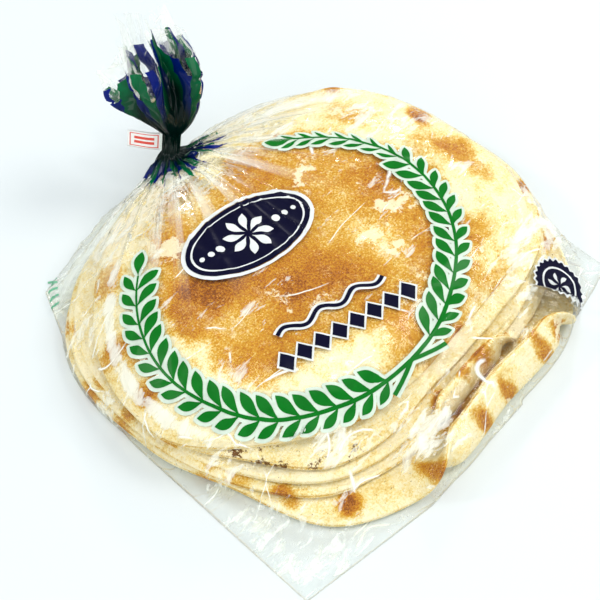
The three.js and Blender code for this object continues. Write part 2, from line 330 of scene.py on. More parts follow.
def scorch(level, spot):
    """How many burnt specks a crust carries at a spot, from 0 to 1."""
    if level != SCORCH_LEVEL:
        return PLAIN_SPECKS
    reach, degrees = math.hypot(spot.x, spot.y), math.degrees(math.atan2(spot.y, spot.x)) % 360
    along = smooth(min(degrees - SCORCH_FROM, SCORCH_TO - degrees) / SCORCH_FADE)
    across = smooth(1.6 - abs(reach + SCORCH_INSET - bread_reach(BREADS[level - 1], degrees)) / 6)
    clustered = smooth(0.6 + 1.8 * noise.noise(spot * 0.1))
    return PLAIN_SPECKS + SCORCHED * along * across * clustered


def node_group(name, inputs, outputs):
    """A shader node group whose inputs are numbers, and its input and output nodes."""
    group = bpy.data.node_groups.new(name, "ShaderNodeTree")
    for label in inputs:
        group.interface.new_socket(label, in_out="INPUT", socket_type="NodeSocketFloat")
    for label, kind in outputs.items():
        group.interface.new_socket(label, in_out="OUTPUT", socket_type="NodeSocket" + kind)
    return group, group.nodes.new("NodeGroupInput"), group.nodes.new("NodeGroupOutput")


def feed(tree, node, inputs):
    """Sets the inputs of a node to values, or links them from other sockets."""
    for key, value in inputs.items():
        if isinstance(value, bpy.types.NodeSocket):
            tree.links.new(value, node.inputs[key])
        else:
            node.inputs[key].default_value = value


def add_node(tree, kind, inputs=None, **settings):
    """A node with its settings and inputs."""
    node = tree.nodes.new("ShaderNode" + kind)
    for key, value in settings.items():
        setattr(node, key, value)
    feed(tree, node, inputs or {})
    return node


def colour_ramp(tree, factor, stops, interpolation="LINEAR"):
    node = add_node(tree, "ValToRGB", {"Fac": factor})
    node.color_ramp.interpolation = interpolation
    while len(node.color_ramp.elements) < len(stops):
        node.color_ramp.elements.new(0.5)
    for element, (place, colour) in zip(node.color_ramp.elements, stops):
        element.position = place
        element.color = (*colour, 1)
    return node.outputs["Color"]


def grey_ramp(tree, factor, stops, interpolation="LINEAR"):
    """A ramp between levels of grey, from stops of (place, level)."""
    greys = [(place, (level, level, level)) for place, level in stops]
    return colour_ramp(tree, factor, greys, interpolation)


def math_node(tree, operation, *values):
    return add_node(tree, "Math", dict(enumerate(values)), operation=operation).outputs[0]


def noise_node(tree, vector, scale, detail=2.0, rough=0.5, twist=0.0):
    return add_node(tree, "TexNoise", {
        "Vector": vector, "Scale": scale, "Detail": detail, "Roughness": rough, "Distortion": twist,
    }).outputs["Fac"]


def mix_colours(tree, share, below, above):
    return add_node(tree, "Mix", {"Factor": share, 6: below, 7: above}, data_type="RGBA").outputs[2]


def mix_shaders(tree, share, below, above):
    return add_node(tree, "MixShader", {0: share, 1: below, 2: above}).outputs[0]


def see_through(tree, colour):
    return add_node(tree, "BsdfTransparent", {"Color": colour}).outputs[0]


def relief(tree, height, strength, distance):
    """The normals of a surface with a fine relief."""
    values = {"Height": height, "Strength": strength, "Distance": distance}
    return add_node(tree, "Bump", values).outputs[0]


def painted(tree, label):
    """The values that a mesh carries at its points under a label."""
    return add_node(tree, "Attribute", attribute_name=label).outputs["Fac"]


# The crust's colours, from floury to burnt, and how far it is toasted for each.
PALE_CRUMB = (0.82, 0.67, 0.29)
GOLDEN_CRUST = (0.64, 0.36, 0.032)
ORANGE_CRUST = (0.54, 0.24, 0.012)
BROWN_CRUST = (0.44, 0.145, 0.004)
DARK_CRUST = (0.22, 0.058, 0.002)
BURNT_SPECK = (0.14, 0.055, 0.004)
FLOUR = (0.89, 0.80, 0.54)
DARKEST_TOAST = 1.15
CRUST_SHADES = [
    (0.0, FLOUR), (0.17, PALE_CRUMB), (0.40, GOLDEN_CRUST), (0.62, ORANGE_CRUST), (0.86, BROWN_CRUST),
    (DARKEST_TOAST, DARK_CRUST),
]


def baked_crust_group():
    """A baked crust's colour, roughness and fine relief, from its toast, which carries painted shade
    too, and scorch.
    """
    results = {"Colour": "Color", "Roughness": "Float", "Height": "Float"}
    group, enter, leave = node_group("baked_crust", ["Toast_And_Shade", "Scorch", "Seed"], results)
    toasted, scorched, seed = (enter.outputs[name] for name in ("Toast_And_Shade", "Scorch", "Seed"))
    place = add_node(group, "TexCoord").outputs["Object"]
    shift = add_node(group, "CombineXYZ", {"X": seed, "Y": seed}).outputs[0]
    spot = add_node(group, "VectorMath", {0: place, 1: shift}, operation="ADD").outputs[0]
    broad, patchy = noise_node(group, spot, 30, 3), noise_node(group, spot, 110, 6, 0.7)
    grain = noise_node(group, spot, 850, 3, 0.7)
    pits = add_node(group, "TexVoronoi", {"Vector": spot, "Scale": 420.0}).outputs["Distance"]
    browned = math_node(group, "ADD", toasted, math_node(group, "MULTIPLY_ADD", broad, 0.5, -0.25))
    browned = math_node(group, "ADD", browned, math_node(group, "MULTIPLY_ADD", patchy, 0.75, -0.37))
    grainy = math_node(group, "MULTIPLY_ADD", toasted, 1.7, 0.75)
    speckle = math_node(group, "MULTIPLY", math_node(group, "SUBTRACT", grain, 0.5), grainy)
    browned = math_node(group, "ADD", browned, speckle)
    crust = colour_ramp(group, math_node(group, "MULTIPLY", browned, 1 / DARKEST_TOAST), [
        (level / DARKEST_TOAST, colour) for level, colour in CRUST_SHADES
    ])

    # Flour lies as a fine dust, less of it on the browned crust, and in torn patches.
    fine_dust = grey_ramp(group, noise_node(group, spot, 70, 8, 0.85), [(0.54, 0), (0.60, 0.6)])
    torn_flour = grey_ramp(group, noise_node(group, spot, 27, 12, 0.72), [(0.585, 0), (0.6, 0.85)])
    pale = math_node(group, "MULTIPLY_ADD", browned, -1.6, 1.3)
    undusted = add_node(group, "Clamp", {"Value": pale}).outputs[0]
    dusting = math_node(group, "MAXIMUM", math_node(group, "MULTIPLY", fine_dust, undusted), torn_flour)
    coloured = mix_colours(group, dusting, crust, (*FLOUR, 1))
    more = math_node(group, "MULTIPLY", scorched, 0.19)
    specks = math_node(group, "ADD", noise_node(group, spot, 420, 5, 0.8), more)
    burnt = grey_ramp(group, specks, [(0.66, 0), (0.70, 1)])
    coloured = mix_colours(group, burnt, coloured, (*BURNT_SPECK, 1))
    roughness = math_node(group, "MULTIPLY_ADD", browned, -0.25, 0.86)
    skin = math_node(group, "MULTIPLY_ADD", grain, 0.5, math_node(group, "MULTIPLY", patchy, 1.2))
    height = math_node(group, "MULTIPLY_ADD", pits, 0.5, skin)
    feed(group, leave, {"Colour": coloured, "Roughness": roughness, "Height": height})
    return group


def new_material(name):
    """A material with an empty tree, its Principled shader and its output."""
    material = bpy.data.materials.new(name)
    material.use_nodes = True
    tree = material.node_tree
    tree.nodes.clear()
    shader = add_node(tree, "BsdfPrincipled")
    out = add_node(tree, "OutputMaterial", {"Surface": shader.outputs[0]})
    return material, tree, shader, out


baked_crust = baked_crust_group()


def bread_material(level):
    material, tree, shader, _ = new_material(f"baked_bread_{level}")
    crust = add_node(tree, "Group", node_tree=baked_crust)
    feed(tree, crust, {
        "Toast_And_Shade": painted(tree, "toast_and_shade"), "Scorch": painted(tree, "scorch"), "Seed": 0.37 * level,
    })
    feed(tree, shader, {
        "Base Color": crust.outputs["Colour"], "Roughness": crust.outputs["Roughness"],
        "Normal": relief(tree, crust.outputs["Height"], 0.6, 0.0016), "Specular IOR Level": 0.25,
    })
    return material


def rim_seam(level, degrees, angle):
    """How deep the seam of the rim is in a direction, at an angle up or down from its middle."""
    turn = math.radians(degrees)
    along = noise.noise(Vector((3 * math.cos(turn), 3 * math.sin(turn), 5.1 * level)))
    middle = 0.35 * noise.noise(Vector((2 * math.cos(turn), 2 * math.sin(turn), 9 + level)))
    return math.exp(-((angle - middle) / 0.26) ** 2) * clamp(0.65 + 0.9 * along)


def bread_top(level, lines, station):
    """A ring of the upper crust, with its relief."""
    ring = []
    for side, line in enumerate(lines):
        degrees = 360 * side / BREAD_SIDES
        reach, height, half = line[station]
        up = upward_from(slope_at(line, station), level)
        share = 1.0 if level == len(BREADS) else COVERED_RELIEF
        thick = half + crust_relief(level, polar(reach, degrees, height)) * share * smooth(station / 6)
        ring.append(polar(reach + up.x * thick, degrees, height + up.z * thick))
    return ring


def bread_rim(level, lines, angle):
    """A ring of the rounded rim, at an angle up or down from its middle, and its seam's depths."""
    ring, seams = [], []
    for side, line in enumerate(lines):
        degrees = 360 * side / BREAD_SIDES
        reach, height, half = line[-1]
        out = slope_at(line, len(line) - 1)
        up = upward_from(out, level)
        seam = rim_seam(level, degrees, angle)
        push = out * math.cos(angle) * half * (1.15 - RIM_GROOVE * seam) + up * math.sin(angle) * half
        ring.append(polar(reach + push.x, degrees, height + push.z))
        seams.append(seam)
    return ring, seams


def bread_underside(level, lines, station):
    """A ring of the lower crust, kept off the table."""
    ring = []
    for side, line in enumerate(lines):
        reach, height, half = line[station]
        up = upward_from(slope_at(line, station), level)
        inward, foot = max(reach - up.x * half, 0.5), max(height - up.z * half, BREAD_FOOT)
        ring.append(polar(inward, 360 * side / BREAD_SIDES, foot))
    return ring


def make_bread(level):
    lines = [bread_line(level, 360 * side / BREAD_SIDES) for side in range(BREAD_SIDES)]
    stations = len(lines[0])
    rings = [bread_top(level, lines, station) for station in range(stations)]
    seams = [0] * (stations * BREAD_SIDES)
    for step in range(1, RIM_STEPS):
        ring, depths = bread_rim(level, lines, math.pi / 2 - math.pi * step / RIM_STEPS)
        rings.append(ring)
        seams += depths
    for station in range(stations - 1, -1, -UNDERSIDE_STRIDE):
        rings.append(bread_underside(level, lines, station))
    points = [point for ring in rings for point in ring]
    points.append(sum(rings[0], Vector()) / BREAD_SIDES)
    points.append(sum(rings[-1], Vector()) / BREAD_SIDES)
    faces = closed_faces(BREAD_SIDES, len(rings))
    seams += [0] * (len(points) - len(seams))
    browned = [toast_and_shade(level, point) + SEAM_TOAST * seam for point, seam in zip(points, seams)]
    specked = [scorch(level, point) for point in points]
    marks = {"toast_and_shade": browned, "scorch": specked}
    piece = make_piece(f"bread_{level}", points, faces, bread_material(level), marks)
    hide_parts("filled_bag")
    return BVHTree.FromPolygons(points, faces)


bread_trees = [make_bread(level) for level in range(1, len(BREADS) + 1)]


# The bag: one long sleeve of clear film, welded straight across its bottom end. It is pulled taut
# over the rims of the breads, and its corners stand out past them and lie on the table.
FILM_SIDES = 480
FILM_OVER = 70          # rings of the film over the top bread,
FILM_DOWN = 46          # down the wall,
FILM_UNDER = 5          # and in under the pack
UNDER_FROM, UNDER_REACH = 1.5, 60.0     # how far in from the edge those lie
FILM_REACH = 143.0      # how far out the edge is where nothing pulls it,
SEAM_REACH = 136.0      # and along the welded seam
SEAM_TURN = 7.8         # degrees that the seam turns in towards the east corner
# The bag's corners: direction, reach, and how far from the middle the edges beside each pass.
FILM_CORNERS = [(217.5, 197.0, 146.0), (318.75, 178.0, 143.0), (127.5, 167.0, 152.0)]
FILM_CLEAR = 1.0        # how far the film stands off the crust,
FILM_GAP = 0.5          # and at least, over its blisters
FILM_BRIDGES = 6.0      # degrees to each side over which the film is pulled straight,
BRIDGE_DROP = 0.4       # and how much lower it runs there for each degree
TOP_INSET = 8.0         # how far in from the top rim the film leaves the top crust
RIM_STATIONS = 4        # stations of a bread's line over which the film can lie,
BENT_STATIONS = 24      # and of a bent-up one
FILM_FOOT = 0.12        # height of the film's underside over the table,
EDGE_HEIGHT = 0.7       # of its edge,
FILM_LOWEST = 0.45      # and the least height of its upper side
FILM_PAST = 1.5         # the least that its edge stands out past the lowest bread
LOOSE_FROM = 2.0        # how far past that bread the film starts to sink to the table,
LOOSE_LEAST = 4.0       # where at least this much of it stands out
CORNER_TURN = 1.9       # degrees beside a corner in which the seam doesn't cut it off
BREAD_NEAR = 9.0        # how near a bread the film has to be to be lifted off it
LIP_TAUT = 0.85         # how much flatter it lies over the bent-up rims
NECK_NOTCH = 13.0       # how far the gathered neck draws the edge in
NOTCH_WIDTH = 26.0
PULL_LIFT = 1.7         # how far the film's broad pulls towards the tie stand out,
TAUT_LIFT = 0.3         # the fine ones between them,
FACET_LIFT = 0.8        # the creases between its facets,
WALL_LIFT = 0.12        # and the upright ones down its wall,
TIE_WALL_LIFT = 0.3     # more of them below the tie
BILLOW_LIFT = 0.9
CORNER_FOLD = 2.4       # height of the pulls that fan out from the bag's corners
CORNER_FOLD_REACH = 75.0


def outline_reach(degrees):
    """How far the edge of the bag reaches in a direction."""
    reach = FILM_REACH
    for middle, corner, plain in FILM_CORNERS:
        slope = math.acos(plain / corner)
        turn = math.radians(turn_between(degrees, middle))
        if turn < slope:
            reach = max(reach, plain / math.cos(slope - turn))
        else:
            reach = max(reach, FILM_REACH + (plain - FILM_REACH) * smooth(1 - (turn - slope) / 0.4))
    reach -= NECK_NOTCH * bump(degrees, NECK_DIRECTION, NOTCH_WIDTH)
    to_seam = -math.sin(math.radians(degrees))
    at_corner = any(turn_between(degrees, middle) < CORNER_TURN for middle, _, _ in FILM_CORNERS)
    if to_seam > 0.5 and not at_corner:
        turned_in = math.radians(degrees - 270 - SEAM_TURN)
        reach = min(reach, SEAM_REACH / max(to_seam, 0.01))
        reach = min(reach, SEAM_REACH / math.cos(turned_in)) if turned_in > 0 else reach
    return max(reach, bread_reach(BREADS[0], degrees) + FILM_PAST)


@functools.lru_cache(maxsize=None)
def cached_line(level, degrees):
    return bread_line(level, degrees)


def pulled_tight(start, keys):
    """The line that film takes from a start to the last of some points when it is pulled tight."""
    hull = [start]
    for key in keys:
        while len(hull) > 1:
            (x0, z0), (x1, z1) = hull[-2], hull[-1]
            if (x1 - x0) * (key[1] - z0) - (z1 - z0) * (key[0] - x0) < 0:
                break
            hull.pop()
        hull.append(key)
    return hull


def even_points(line, count):
    """A count of points at even steps along a line, the last one at its end."""
    lengths = [0.0]
    for before, after in zip(line, line[1:]):
        lengths.append(lengths[-1] + math.dist(before, after))
    points, piece = [], 0
    for step in range(1, count + 1):
        target = lengths[-1] * step / count
        while piece < len(lengths) - 2 and lengths[piece + 1] < target:
            piece += 1
        share = (target - lengths[piece]) / max(lengths[piece + 1] - lengths[piece], 1e-6)
        (x0, z0), (x1, z1) = line[piece], line[piece + 1]
        points.append((x0 + (x1 - x0) * share, z0 + (z1 - z0) * share))
    return points


def film_line(degrees):
    """The film in one direction, as (reach, height) from the middle of the top to its edge."""
    over = []
    for ring in range(FILM_OVER):
        at = (bread_reach(BREADS[-1], degrees) - TOP_INSET) * ring / (FILM_OVER - 1)
        over.append((at, stack_height(len(BREADS), at, degrees) + FILM_CLEAR))
    edge = outline_reach(degrees)
    keys = []
    for offset in (-FILM_BRIDGES, -FILM_BRIDGES / 2, 0, FILM_BRIDGES / 2, FILM_BRIDGES):
        lower = BRIDGE_DROP * abs(offset)
        for level in range(len(BREADS), 0, -1):
            line = cached_line(level, round((degrees + offset) % 360, 2))
            for reach, height, half in line[-BENT_STATIONS if level in LIPS else -RIM_STATIONS:]:
                keys.append((reach + half + 0.6, height - lower))
                keys.append((reach - 1, height + half + 0.8 - lower))
    keys = sorted(key for key in keys if over[-1][0] < key[0] < edge - 0.5 and key[1] > EDGE_HEIGHT)
    down = even_points(pulled_tight(over[-1], [*keys, (edge, EDGE_HEIGHT)]), FILM_DOWN)
    loose_from = bread_reach(BREADS[0], degrees) + LOOSE_FROM
    if edge - loose_from <= LOOSE_LEAST:
        return over + down
    for reach, height in down:
        out = clamp((reach - loose_from) / (edge - loose_from))
        sunk = (1 - out * 0.35) * (1 - 0.75 * smooth(out * 2.2) * (1 - out))
        over.append((reach, EDGE_HEIGHT + (height - EDGE_HEIGHT) * sunk))
    return over


# The tie: where the neck is drawn together, and the way that the neck points there.
TIE = Vector((10, 128, 45))
TIE_AXIS = Vector((0.35, 0.19, 0.92)).normalized()


def ridge(value, sharp):
    """1 where a value is 0, and falling off to both sides of it."""
    return (1 - abs(value)) ** sharp


def film_crease(spot, degrees, side):
    """How far creases lift the taut film at a spot. side is 0 on top and 1 on the wall."""
    from_tie = Vector((spot.x - TIE.x, spot.y - TIE.y, 0))
    away, bearing = from_tie.length, math.atan2(from_tie.y, from_tie.x)
    near_tie = smooth(1.3 - away / 150)
    pull = ridge(noise.noise(Vector((bearing * 8, away * 0.005, 3.1))) * 1.6, 6)
    taut = ridge(noise.noise(Vector((bearing * 19, away * 0.008, 7.7))) * 1.5, 5)
    stretched = Vector((spot.x * 0.026, spot.y * 0.034, spot.z * 0.03))
    crumple = noise.voronoi(stretched + Vector((4, 8, 0)))[0]
    facet = math.exp(-((crumple[1] - crumple[0]) / 0.07) ** 2)
    wall = ridge(noise.noise(Vector((math.radians(degrees) * 7, spot.z * 0.03, 8.0))) * 1.5, 5)
    billow = 0.5 + 0.5 * noise.noise(spot * 0.025 + Vector((20, 0, 5)))
    streaks = (PULL_LIFT * pull + TAUT_LIFT * taut) * near_tie
    upright = (WALL_LIFT + TIE_WALL_LIFT * near_tie) * wall * side
    return streaks + FACET_LIFT * facet * billow + upright + BILLOW_LIFT * billow


def corner_crease(spot):
    """Pulls and billows of the loose film in the corners of the bag."""
    lift = 0.0
    for middle, corner, _ in FILM_CORNERS:
        tip = polar(corner, middle, 0)
        gap = Vector((spot.x - tip.x, spot.y - tip.y, 0))
        fan = math.atan2(gap.y, gap.x)
        fold = ridge(noise.noise(Vector((fan * 4.5, gap.length * 0.008, corner))) * 1.5, 4)
        lift += CORNER_FOLD * fold * smooth(1.1 - gap.length / CORNER_FOLD_REACH)
    return lift


film_lines = [film_line(360 * side / FILM_SIDES) for side in range(FILM_SIDES)]


def off_breads(point):
    """Moves a point of the film that is inside a bread, or touches it, to just outside it."""
    for tree in bread_trees:
        near, normal, _, _ = tree.find_nearest(point)
        if (point - near).dot(normal) < FILM_GAP and (point - near).length < BREAD_NEAR:
            point = near + normal * FILM_GAP
    return point


def film_points():
    """Rings of the bag's film: over the breads, down the wall, and in under them."""
    stations = len(film_lines[0])
    rings = []
    for station in range(1, stations):
        on_wall = smooth((station - FILM_OVER) / 12)
        settle = smooth((stations - 1 - station) / 5)
        ring = []
        for side, line in enumerate(film_lines):
            degrees = 360 * side / FILM_SIDES
            reach, height = line[station]
            slope = slope_at(line, station)
            spot = polar(reach, degrees, height)
            lift = film_crease(spot, degrees, on_wall) * smooth(station / 8) * settle
            lift += corner_crease(spot) * on_wall * settle
            lift *= 1 - LIP_TAUT * lip_share(1, degrees) * on_wall
            point = off_breads(polar(reach - slope.z * lift, degrees, height + slope.x * lift))
            ring.append(Vector((point.x, point.y, max(point.z, FILM_LOWEST))))
        rings.append(ring)
    for step in range(FILM_UNDER):
        inset = UNDER_FROM + UNDER_REACH * step / FILM_UNDER
        ring = []
        for side, line in enumerate(film_lines):
            ring.append(polar((line[-1][0] - inset) * 0.999, 360 * side / FILM_SIDES, FILM_FOOT))
        rings.append(ring)
    return rings


# Patches of painted glare, where the film stands off the bread and looks whitish: middle, radius and
# strength.
GLARE_PATCHES = [
    (-48, -116, 23, 0.5), (-88, -84, 19, 0.45), (-88, 38, 10, 0.4), (62, 2, 12, 0.3),
    (92, -84, 20, 0.5), (116, -84, 20, 0.5), (104, 46, 24, 0.42), (-144, -72, 24, 0.34),
    (-137, -108, 20, 0.36), (-116, 84, 20, 0.3), (-128, -40, 14, 0.36), (-142, 40, 10, 0.5),
    (-34, 14, 8, 0.34), (-58, 0, 9, 0.36), (122, -54, 12, 0.3), (124, 30, 18, 0.5),
    (112, 78, 16, 0.5), (66, -96, 14, 0.5), (-68, 104, 24, 0.42), (60, 96, 24, 0.42),
    (118, -20, 18, 0.34), (-20, 102, 26, 0.34), (-100, -20, 16, 0.3),
]
PATCH_SHARE = 0.85      # how much of those strengths shows
PLAIN_GLARE = 0.06
# The fold of slack film that runs as a whitish band of painted glare outside the wreath on its left:
# the middle and half sizes of the oval that it follows, the directions it runs between, its width and
# strength.
FOLD_BAND_MIDDLE = (-14.8, 5.2)
FOLD_BAND_HALF = (118.5, 100.0)
FOLD_BAND_FROM, FOLD_BAND_TO, FOLD_BAND_FADE = 112.0, 208.0, 14.0
FOLD_BAND_WIDTH = 3.4
FOLD_BAND_GLARE = 0.6


def glare_mask_at(spot):
    """How much painted glare whitens the film at a spot, from 0 to 1, before its ragged edge is worked
    out.
    """
    value = PLAIN_GLARE
    for x, y, radius, strength in GLARE_PATCHES:
        inside = smooth(1.4 - math.hypot(spot.x - x, spot.y - y) / radius)
        value = max(value, PATCH_SHARE * strength * inside)
    across = (spot.x - FOLD_BAND_MIDDLE[0]) / FOLD_BAND_HALF[0]
    along = (spot.y - FOLD_BAND_MIDDLE[1]) / FOLD_BAND_HALF[1]
    turn = math.degrees(math.atan2(along, across)) % 360
    reached = smooth(min(turn - FOLD_BAND_FROM, FOLD_BAND_TO - turn) / FOLD_BAND_FADE)
    beside = abs(math.hypot(across, along) - 1) * FOLD_BAND_HALF[1] / FOLD_BAND_WIDTH
    return max(value, FOLD_BAND_GLARE * reached * smooth(1.4 - beside))


CRINKLE_SCALE = 75.0    # how close together the film's fine creases are
CRINKLE_WIDTH = 1 / 11
PATCH_STRETCH = (38, 110, 60)   # how the ragged edges of the whitish patches are drawn out
PATCH_TURN = (0, 0, 0.6)
PULL_STREAKS = 5.0      # how fine the streaks of painted highlight are that radiate from the tie
# How strong they are, by metres from the tie.
PULL_REACH = [(0.0, 0.1), (0.04, 0.2), (0.06, 0.8), (0.09, 0.65), (0.13, 0.14), (0.17, 0.0)]
FOLD_SHAPE = (10, 34, 20)       # how long and narrow the facets between the sharp folds of painted highlight are
FOLD_WIDTH = 0.016


def cell_borders(tree, vector, scale, width):
    """1 on the borders between random cells, falling to 0 at a width from them."""
    cells = add_node(tree, "TexVoronoi", {"Vector": vector, "Scale": scale}, feature="DISTANCE_TO_EDGE")
    away = math_node(tree, "DIVIDE", cells.outputs[0], width)
    return math_node(tree, "SUBTRACT", 1.0, math_node(tree, "MINIMUM", away, 1.0))


def pull_streaks(tree, place):
    """Painted highlights on the streaks that radiate from the tie, which reach further down its sides.
    """
    from_tie = add_node(tree, "VectorMath", {0: place, 1: TIE * MM}, operation="SUBTRACT").outputs[0]
    parts = add_node(tree, "SeparateXYZ", {0: from_tie}).outputs
    flat = add_node(tree, "CombineXYZ", {"X": parts["X"], "Y": parts["Y"]}).outputs[0]
    away = add_node(tree, "VectorMath", {0: flat}, operation="LENGTH").outputs["Value"]
    bearing = math_node(tree, "ARCTAN2", parts["X"], math_node(tree, "MULTIPLY", parts["Y"], -1.0))
    around = math_node(tree, "MULTIPLY", bearing, PULL_STREAKS)
    fan = add_node(tree, "CombineXYZ", {"X": around, "Y": away}).outputs[0]
    pulls = noise_node(tree, fan, 1, 3, twist=0.2)
    streaks = grey_ramp(tree, pulls, [(0.52, 0), (0.58, 0.6), (0.72, 1)])
    aside = math_node(tree, "ABSOLUTE", math_node(tree, "SINE", bearing))
    further = math_node(tree, "MULTIPLY_ADD", aside, 0.8, 0.4)
    reached = grey_ramp(tree, math_node(tree, "DIVIDE", away, further), PULL_REACH)
    return math_node(tree, "MULTIPLY", streaks, reached)


def film_crinkle_group():
    """The height of the film's fine crinkles, and a mask of painted glare: whitish patches, streaks and
    folds.
    """
    group, enter, leave = node_group("film_crinkle", ["Glare_Mask"], {"Height": "Float", "Haze": "Float"})
    place = add_node(group, "TexCoord").outputs["Object"]
    soft = noise_node(group, place, 42, twist=0.8)
    creased = cell_borders(group, place, CRINKLE_SCALE, CRINKLE_WIDTH)
    height = math_node(group, "MULTIPLY_ADD", creased, 0.3, soft)

    drawn_out = {"Vector": place, "Rotation": PATCH_TURN, "Scale": PATCH_STRETCH}
    ragged = noise_node(group, add_node(group, "Mapping", drawn_out).outputs[0], 1, 12, 0.7, 0.5)
    torn = math_node(group, "MULTIPLY_ADD", ragged, 2.5, -1.25)
    edge = math_node(group, "ADD", enter.outputs["Glare_Mask"], torn)
    patches = grey_ramp(group, edge, [(0.34, 0), (0.375, 0.5), (0.62, 1)])

    # Painted highlights: sharp white lines along the borders of drawn-out facets, broken up by noise.
    facets = {"Vector": place, "Rotation": PATCH_TURN, "Scale": FOLD_SHAPE}
    straight = add_node(group, "Mapping", facets).outputs[0]
    bent = add_node(group, "TexNoise", {"Vector": place, "Scale": 18.0, "Detail": 1.0}).outputs["Color"]
    facets = add_node(group, "VectorMath", {0: straight, 1: bent}, operation="ADD").outputs[0]
    sharp = cell_borders(group, facets, 1.0, FOLD_WIDTH)
    broken = grey_ramp(group, noise_node(group, place, 55, 4), [(0.52, 0), (0.6, 1.5)])
    folds = math_node(group, "MULTIPLY", sharp, broken)
    whitened = math_node(group, "MAXIMUM", patches, pull_streaks(group, place))
    feed(group, leave, {"Height": height, "Haze": math_node(group, "MAXIMUM", whitened, folds)})
    return group


film_crinkle = film_crinkle_group()
FILM_TINT = (0.985, 0.992, 0.99)
FILM_GLOSS = (1.0, 0.97, 0.90)
# The colour of the painted glare and highlights, a matt whitish layer over the film.
GLARE_WHITE = (0.85, 0.88, 0.79)
GLARE_SHARE = 0.68       # how much of a patch of painted glare hides what is below
SHINE_GAIN = 0.55       # how much of its mirror shine the thin film shows
LIGHT_LET_IN = 0.8      # how much weaker the film is for the light that falls through it


def film_material(name):
    """Clear glossy film: see-through, with the shine of its two faces, and a matt whitish layer of
    painted glare.
    """
    material, tree, shader, out = new_material(name)
    surface = add_node(tree, "Group", {"Glare_Mask": painted(tree, "glare_mask")}, node_tree=film_crinkle)
    glare = surface.outputs["Haze"]
    crinkle = relief(tree, surface.outputs["Height"], 0.4, 0.0014)
    feed(tree, shader, {
        "Base Color": (*FILM_GLOSS, 1), "Metallic": 0.85, "Normal": crinkle,
        "Roughness": math_node(tree, "MULTIPLY_ADD", glare, 0.35, 0.12),
    })
    sheen = add_node(tree, "Fresnel", {"IOR": 1.46, "Normal": crinkle}).outputs[0]
    shine = math_node(tree, "MINIMUM", math_node(tree, "MULTIPLY", sheen, SHINE_GAIN), 0.5)
    in_shadow = add_node(tree, "LightPath").outputs["Is Shadow Ray"]
    lets_light_in = math_node(tree, "MULTIPLY_ADD", in_shadow, -LIGHT_LET_IN, 1.0)
    cover = math_node(tree, "MULTIPLY", shine, lets_light_in)
    glossy = mix_shaders(tree, cover, see_through(tree, (*FILM_TINT, 1)), shader.outputs[0])
    # Painted glare and highlights: a matt whitish shader, mixed in where the glare mask is.
    glare_shader = add_node(tree, "BsdfPrincipled", {
        "Base Color": (*GLARE_WHITE, 1), "Roughness": 0.5, "Normal": crinkle,
    })
    glared = math_node(tree, "MULTIPLY", math_node(tree, "MULTIPLY", glare, GLARE_SHARE), lets_light_in)
    feed(tree, out, {"Surface": mix_shaders(tree, glared, glossy, glare_shader.outputs[0])})
    return material


clear_film = film_material("clear_film")


def make_film():
    rings = film_points()
    points = [point for ring in rings for point in ring]
    points.append(Vector((0, 0, film_lines[0][0][1] + 0.4)))
    points.append(Vector((0, 0, FILM_FOOT)))
    faces = closed_faces(FILM_SIDES, len(rings))
    marks = {"glare_mask": [glare_mask_at(point) for point in points]}
    piece = make_piece("bag_film", points, faces, clear_film, marks)
    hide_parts("filled_bag")
    return BVHTree.FromPolygons(points, faces)


film_tree = make_film()


def on_film(x, y, lift):
    """The point on the film's upper side over a place on the table, lifted off it a little."""
    hit, normal, _, _ = film_tree.ray_cast(Vector((x, y, 200)), Vector((0, 0, -1)))
    if hit is None:
        return Vector((x, y, lift))
    return hit + normal * lift


# The neck: the end of the sleeve drawn together over the rims in radiating pleats, taped round, and
# opening past the tape in a loose frill. Stripes of green and navy ink run along this end.
NECK_SIDES = 384
SKIRT_STEPS = 34        # rings of the gathered film below the tie,
FRILL_STEPS = 46        # and of the frill above it
WAIST_RADIUS = 5.4
TAPE_WIDTH = 11.0
TAB_DIRECTION = Vector((-0.58, 0.81, 0.06))
FRILL_BEND = 25.0       # how far above the tape the frill's middle line bends over
FRILL_END = Vector((25, 159, 112))      # middle of its mouth
FRILL_RADIUS = 26.0
FRILL_OPENS = 0.62      # share of its length in which it opens out to that radius
FRILL_CLOSES = 0.2      # how much narrower its mouth is, as a share
FRILL_FLAT = 0.8
SKIRT_TURN = 54.0       # half width of the gathered film, in degrees round the stack
SKIRT_UP = 62.0         # how far it reaches in over the top bread,
SKIRT_DOWN = 38.0       # and down the wall
SKIRT_PLEAT = 3.0       # depth of its pleats,
SKIRT_SAG = 6.0         # and how far it sags below the tie
PLEATS = 9              # broad pleats round the neck,
SMALL_PLEATS = 17       # and smaller ones on them
neck_wide = (TAB_DIRECTION - TIE_AXIS * TAB_DIRECTION.dot(TIE_AXIS)).normalized()
neck_deep = TIE_AXIS.cross(neck_wide)


def film_at(degrees, run):
    """A point of the bag film in a direction, a run of millimetres past the top bread's rim."""
    line = film_lines[round(degrees / 360 * FILM_SIDES) % FILM_SIDES]
    index, left = FILM_OVER - 1, run
    while left > 0 and index < len(line) - 1:
        left -= math.dist(line[index], line[index + 1])
        index += 1
    while left < 0 and index > 0 and run < 0:
        left += math.dist(line[index], line[index - 1])
        index -= 1
    return polar(line[index][0], degrees, line[index][1])


def off_film(point, gap):
    """Moves a point that is inside the bag film, or nearer than a gap, out to that gap."""
    near, normal, _, _ = film_tree.find_nearest(point)
    if (point - near).dot(normal) < gap:
        return near + normal * gap
    return point


def pleat(turn):
    """Uneven tight pleats round the neck, from -1 to 1."""
    circle = Vector((math.cos(turn), math.sin(turn), 0))
    uneven = 2.5 * noise.noise(circle * 2.1 + Vector((0, 0, 1)))
    small = math.sin(SMALL_PLEATS * turn - 2 * uneven)
    return 0.65 * math.sin(PLEATS * turn + uneven) + 0.35 * small


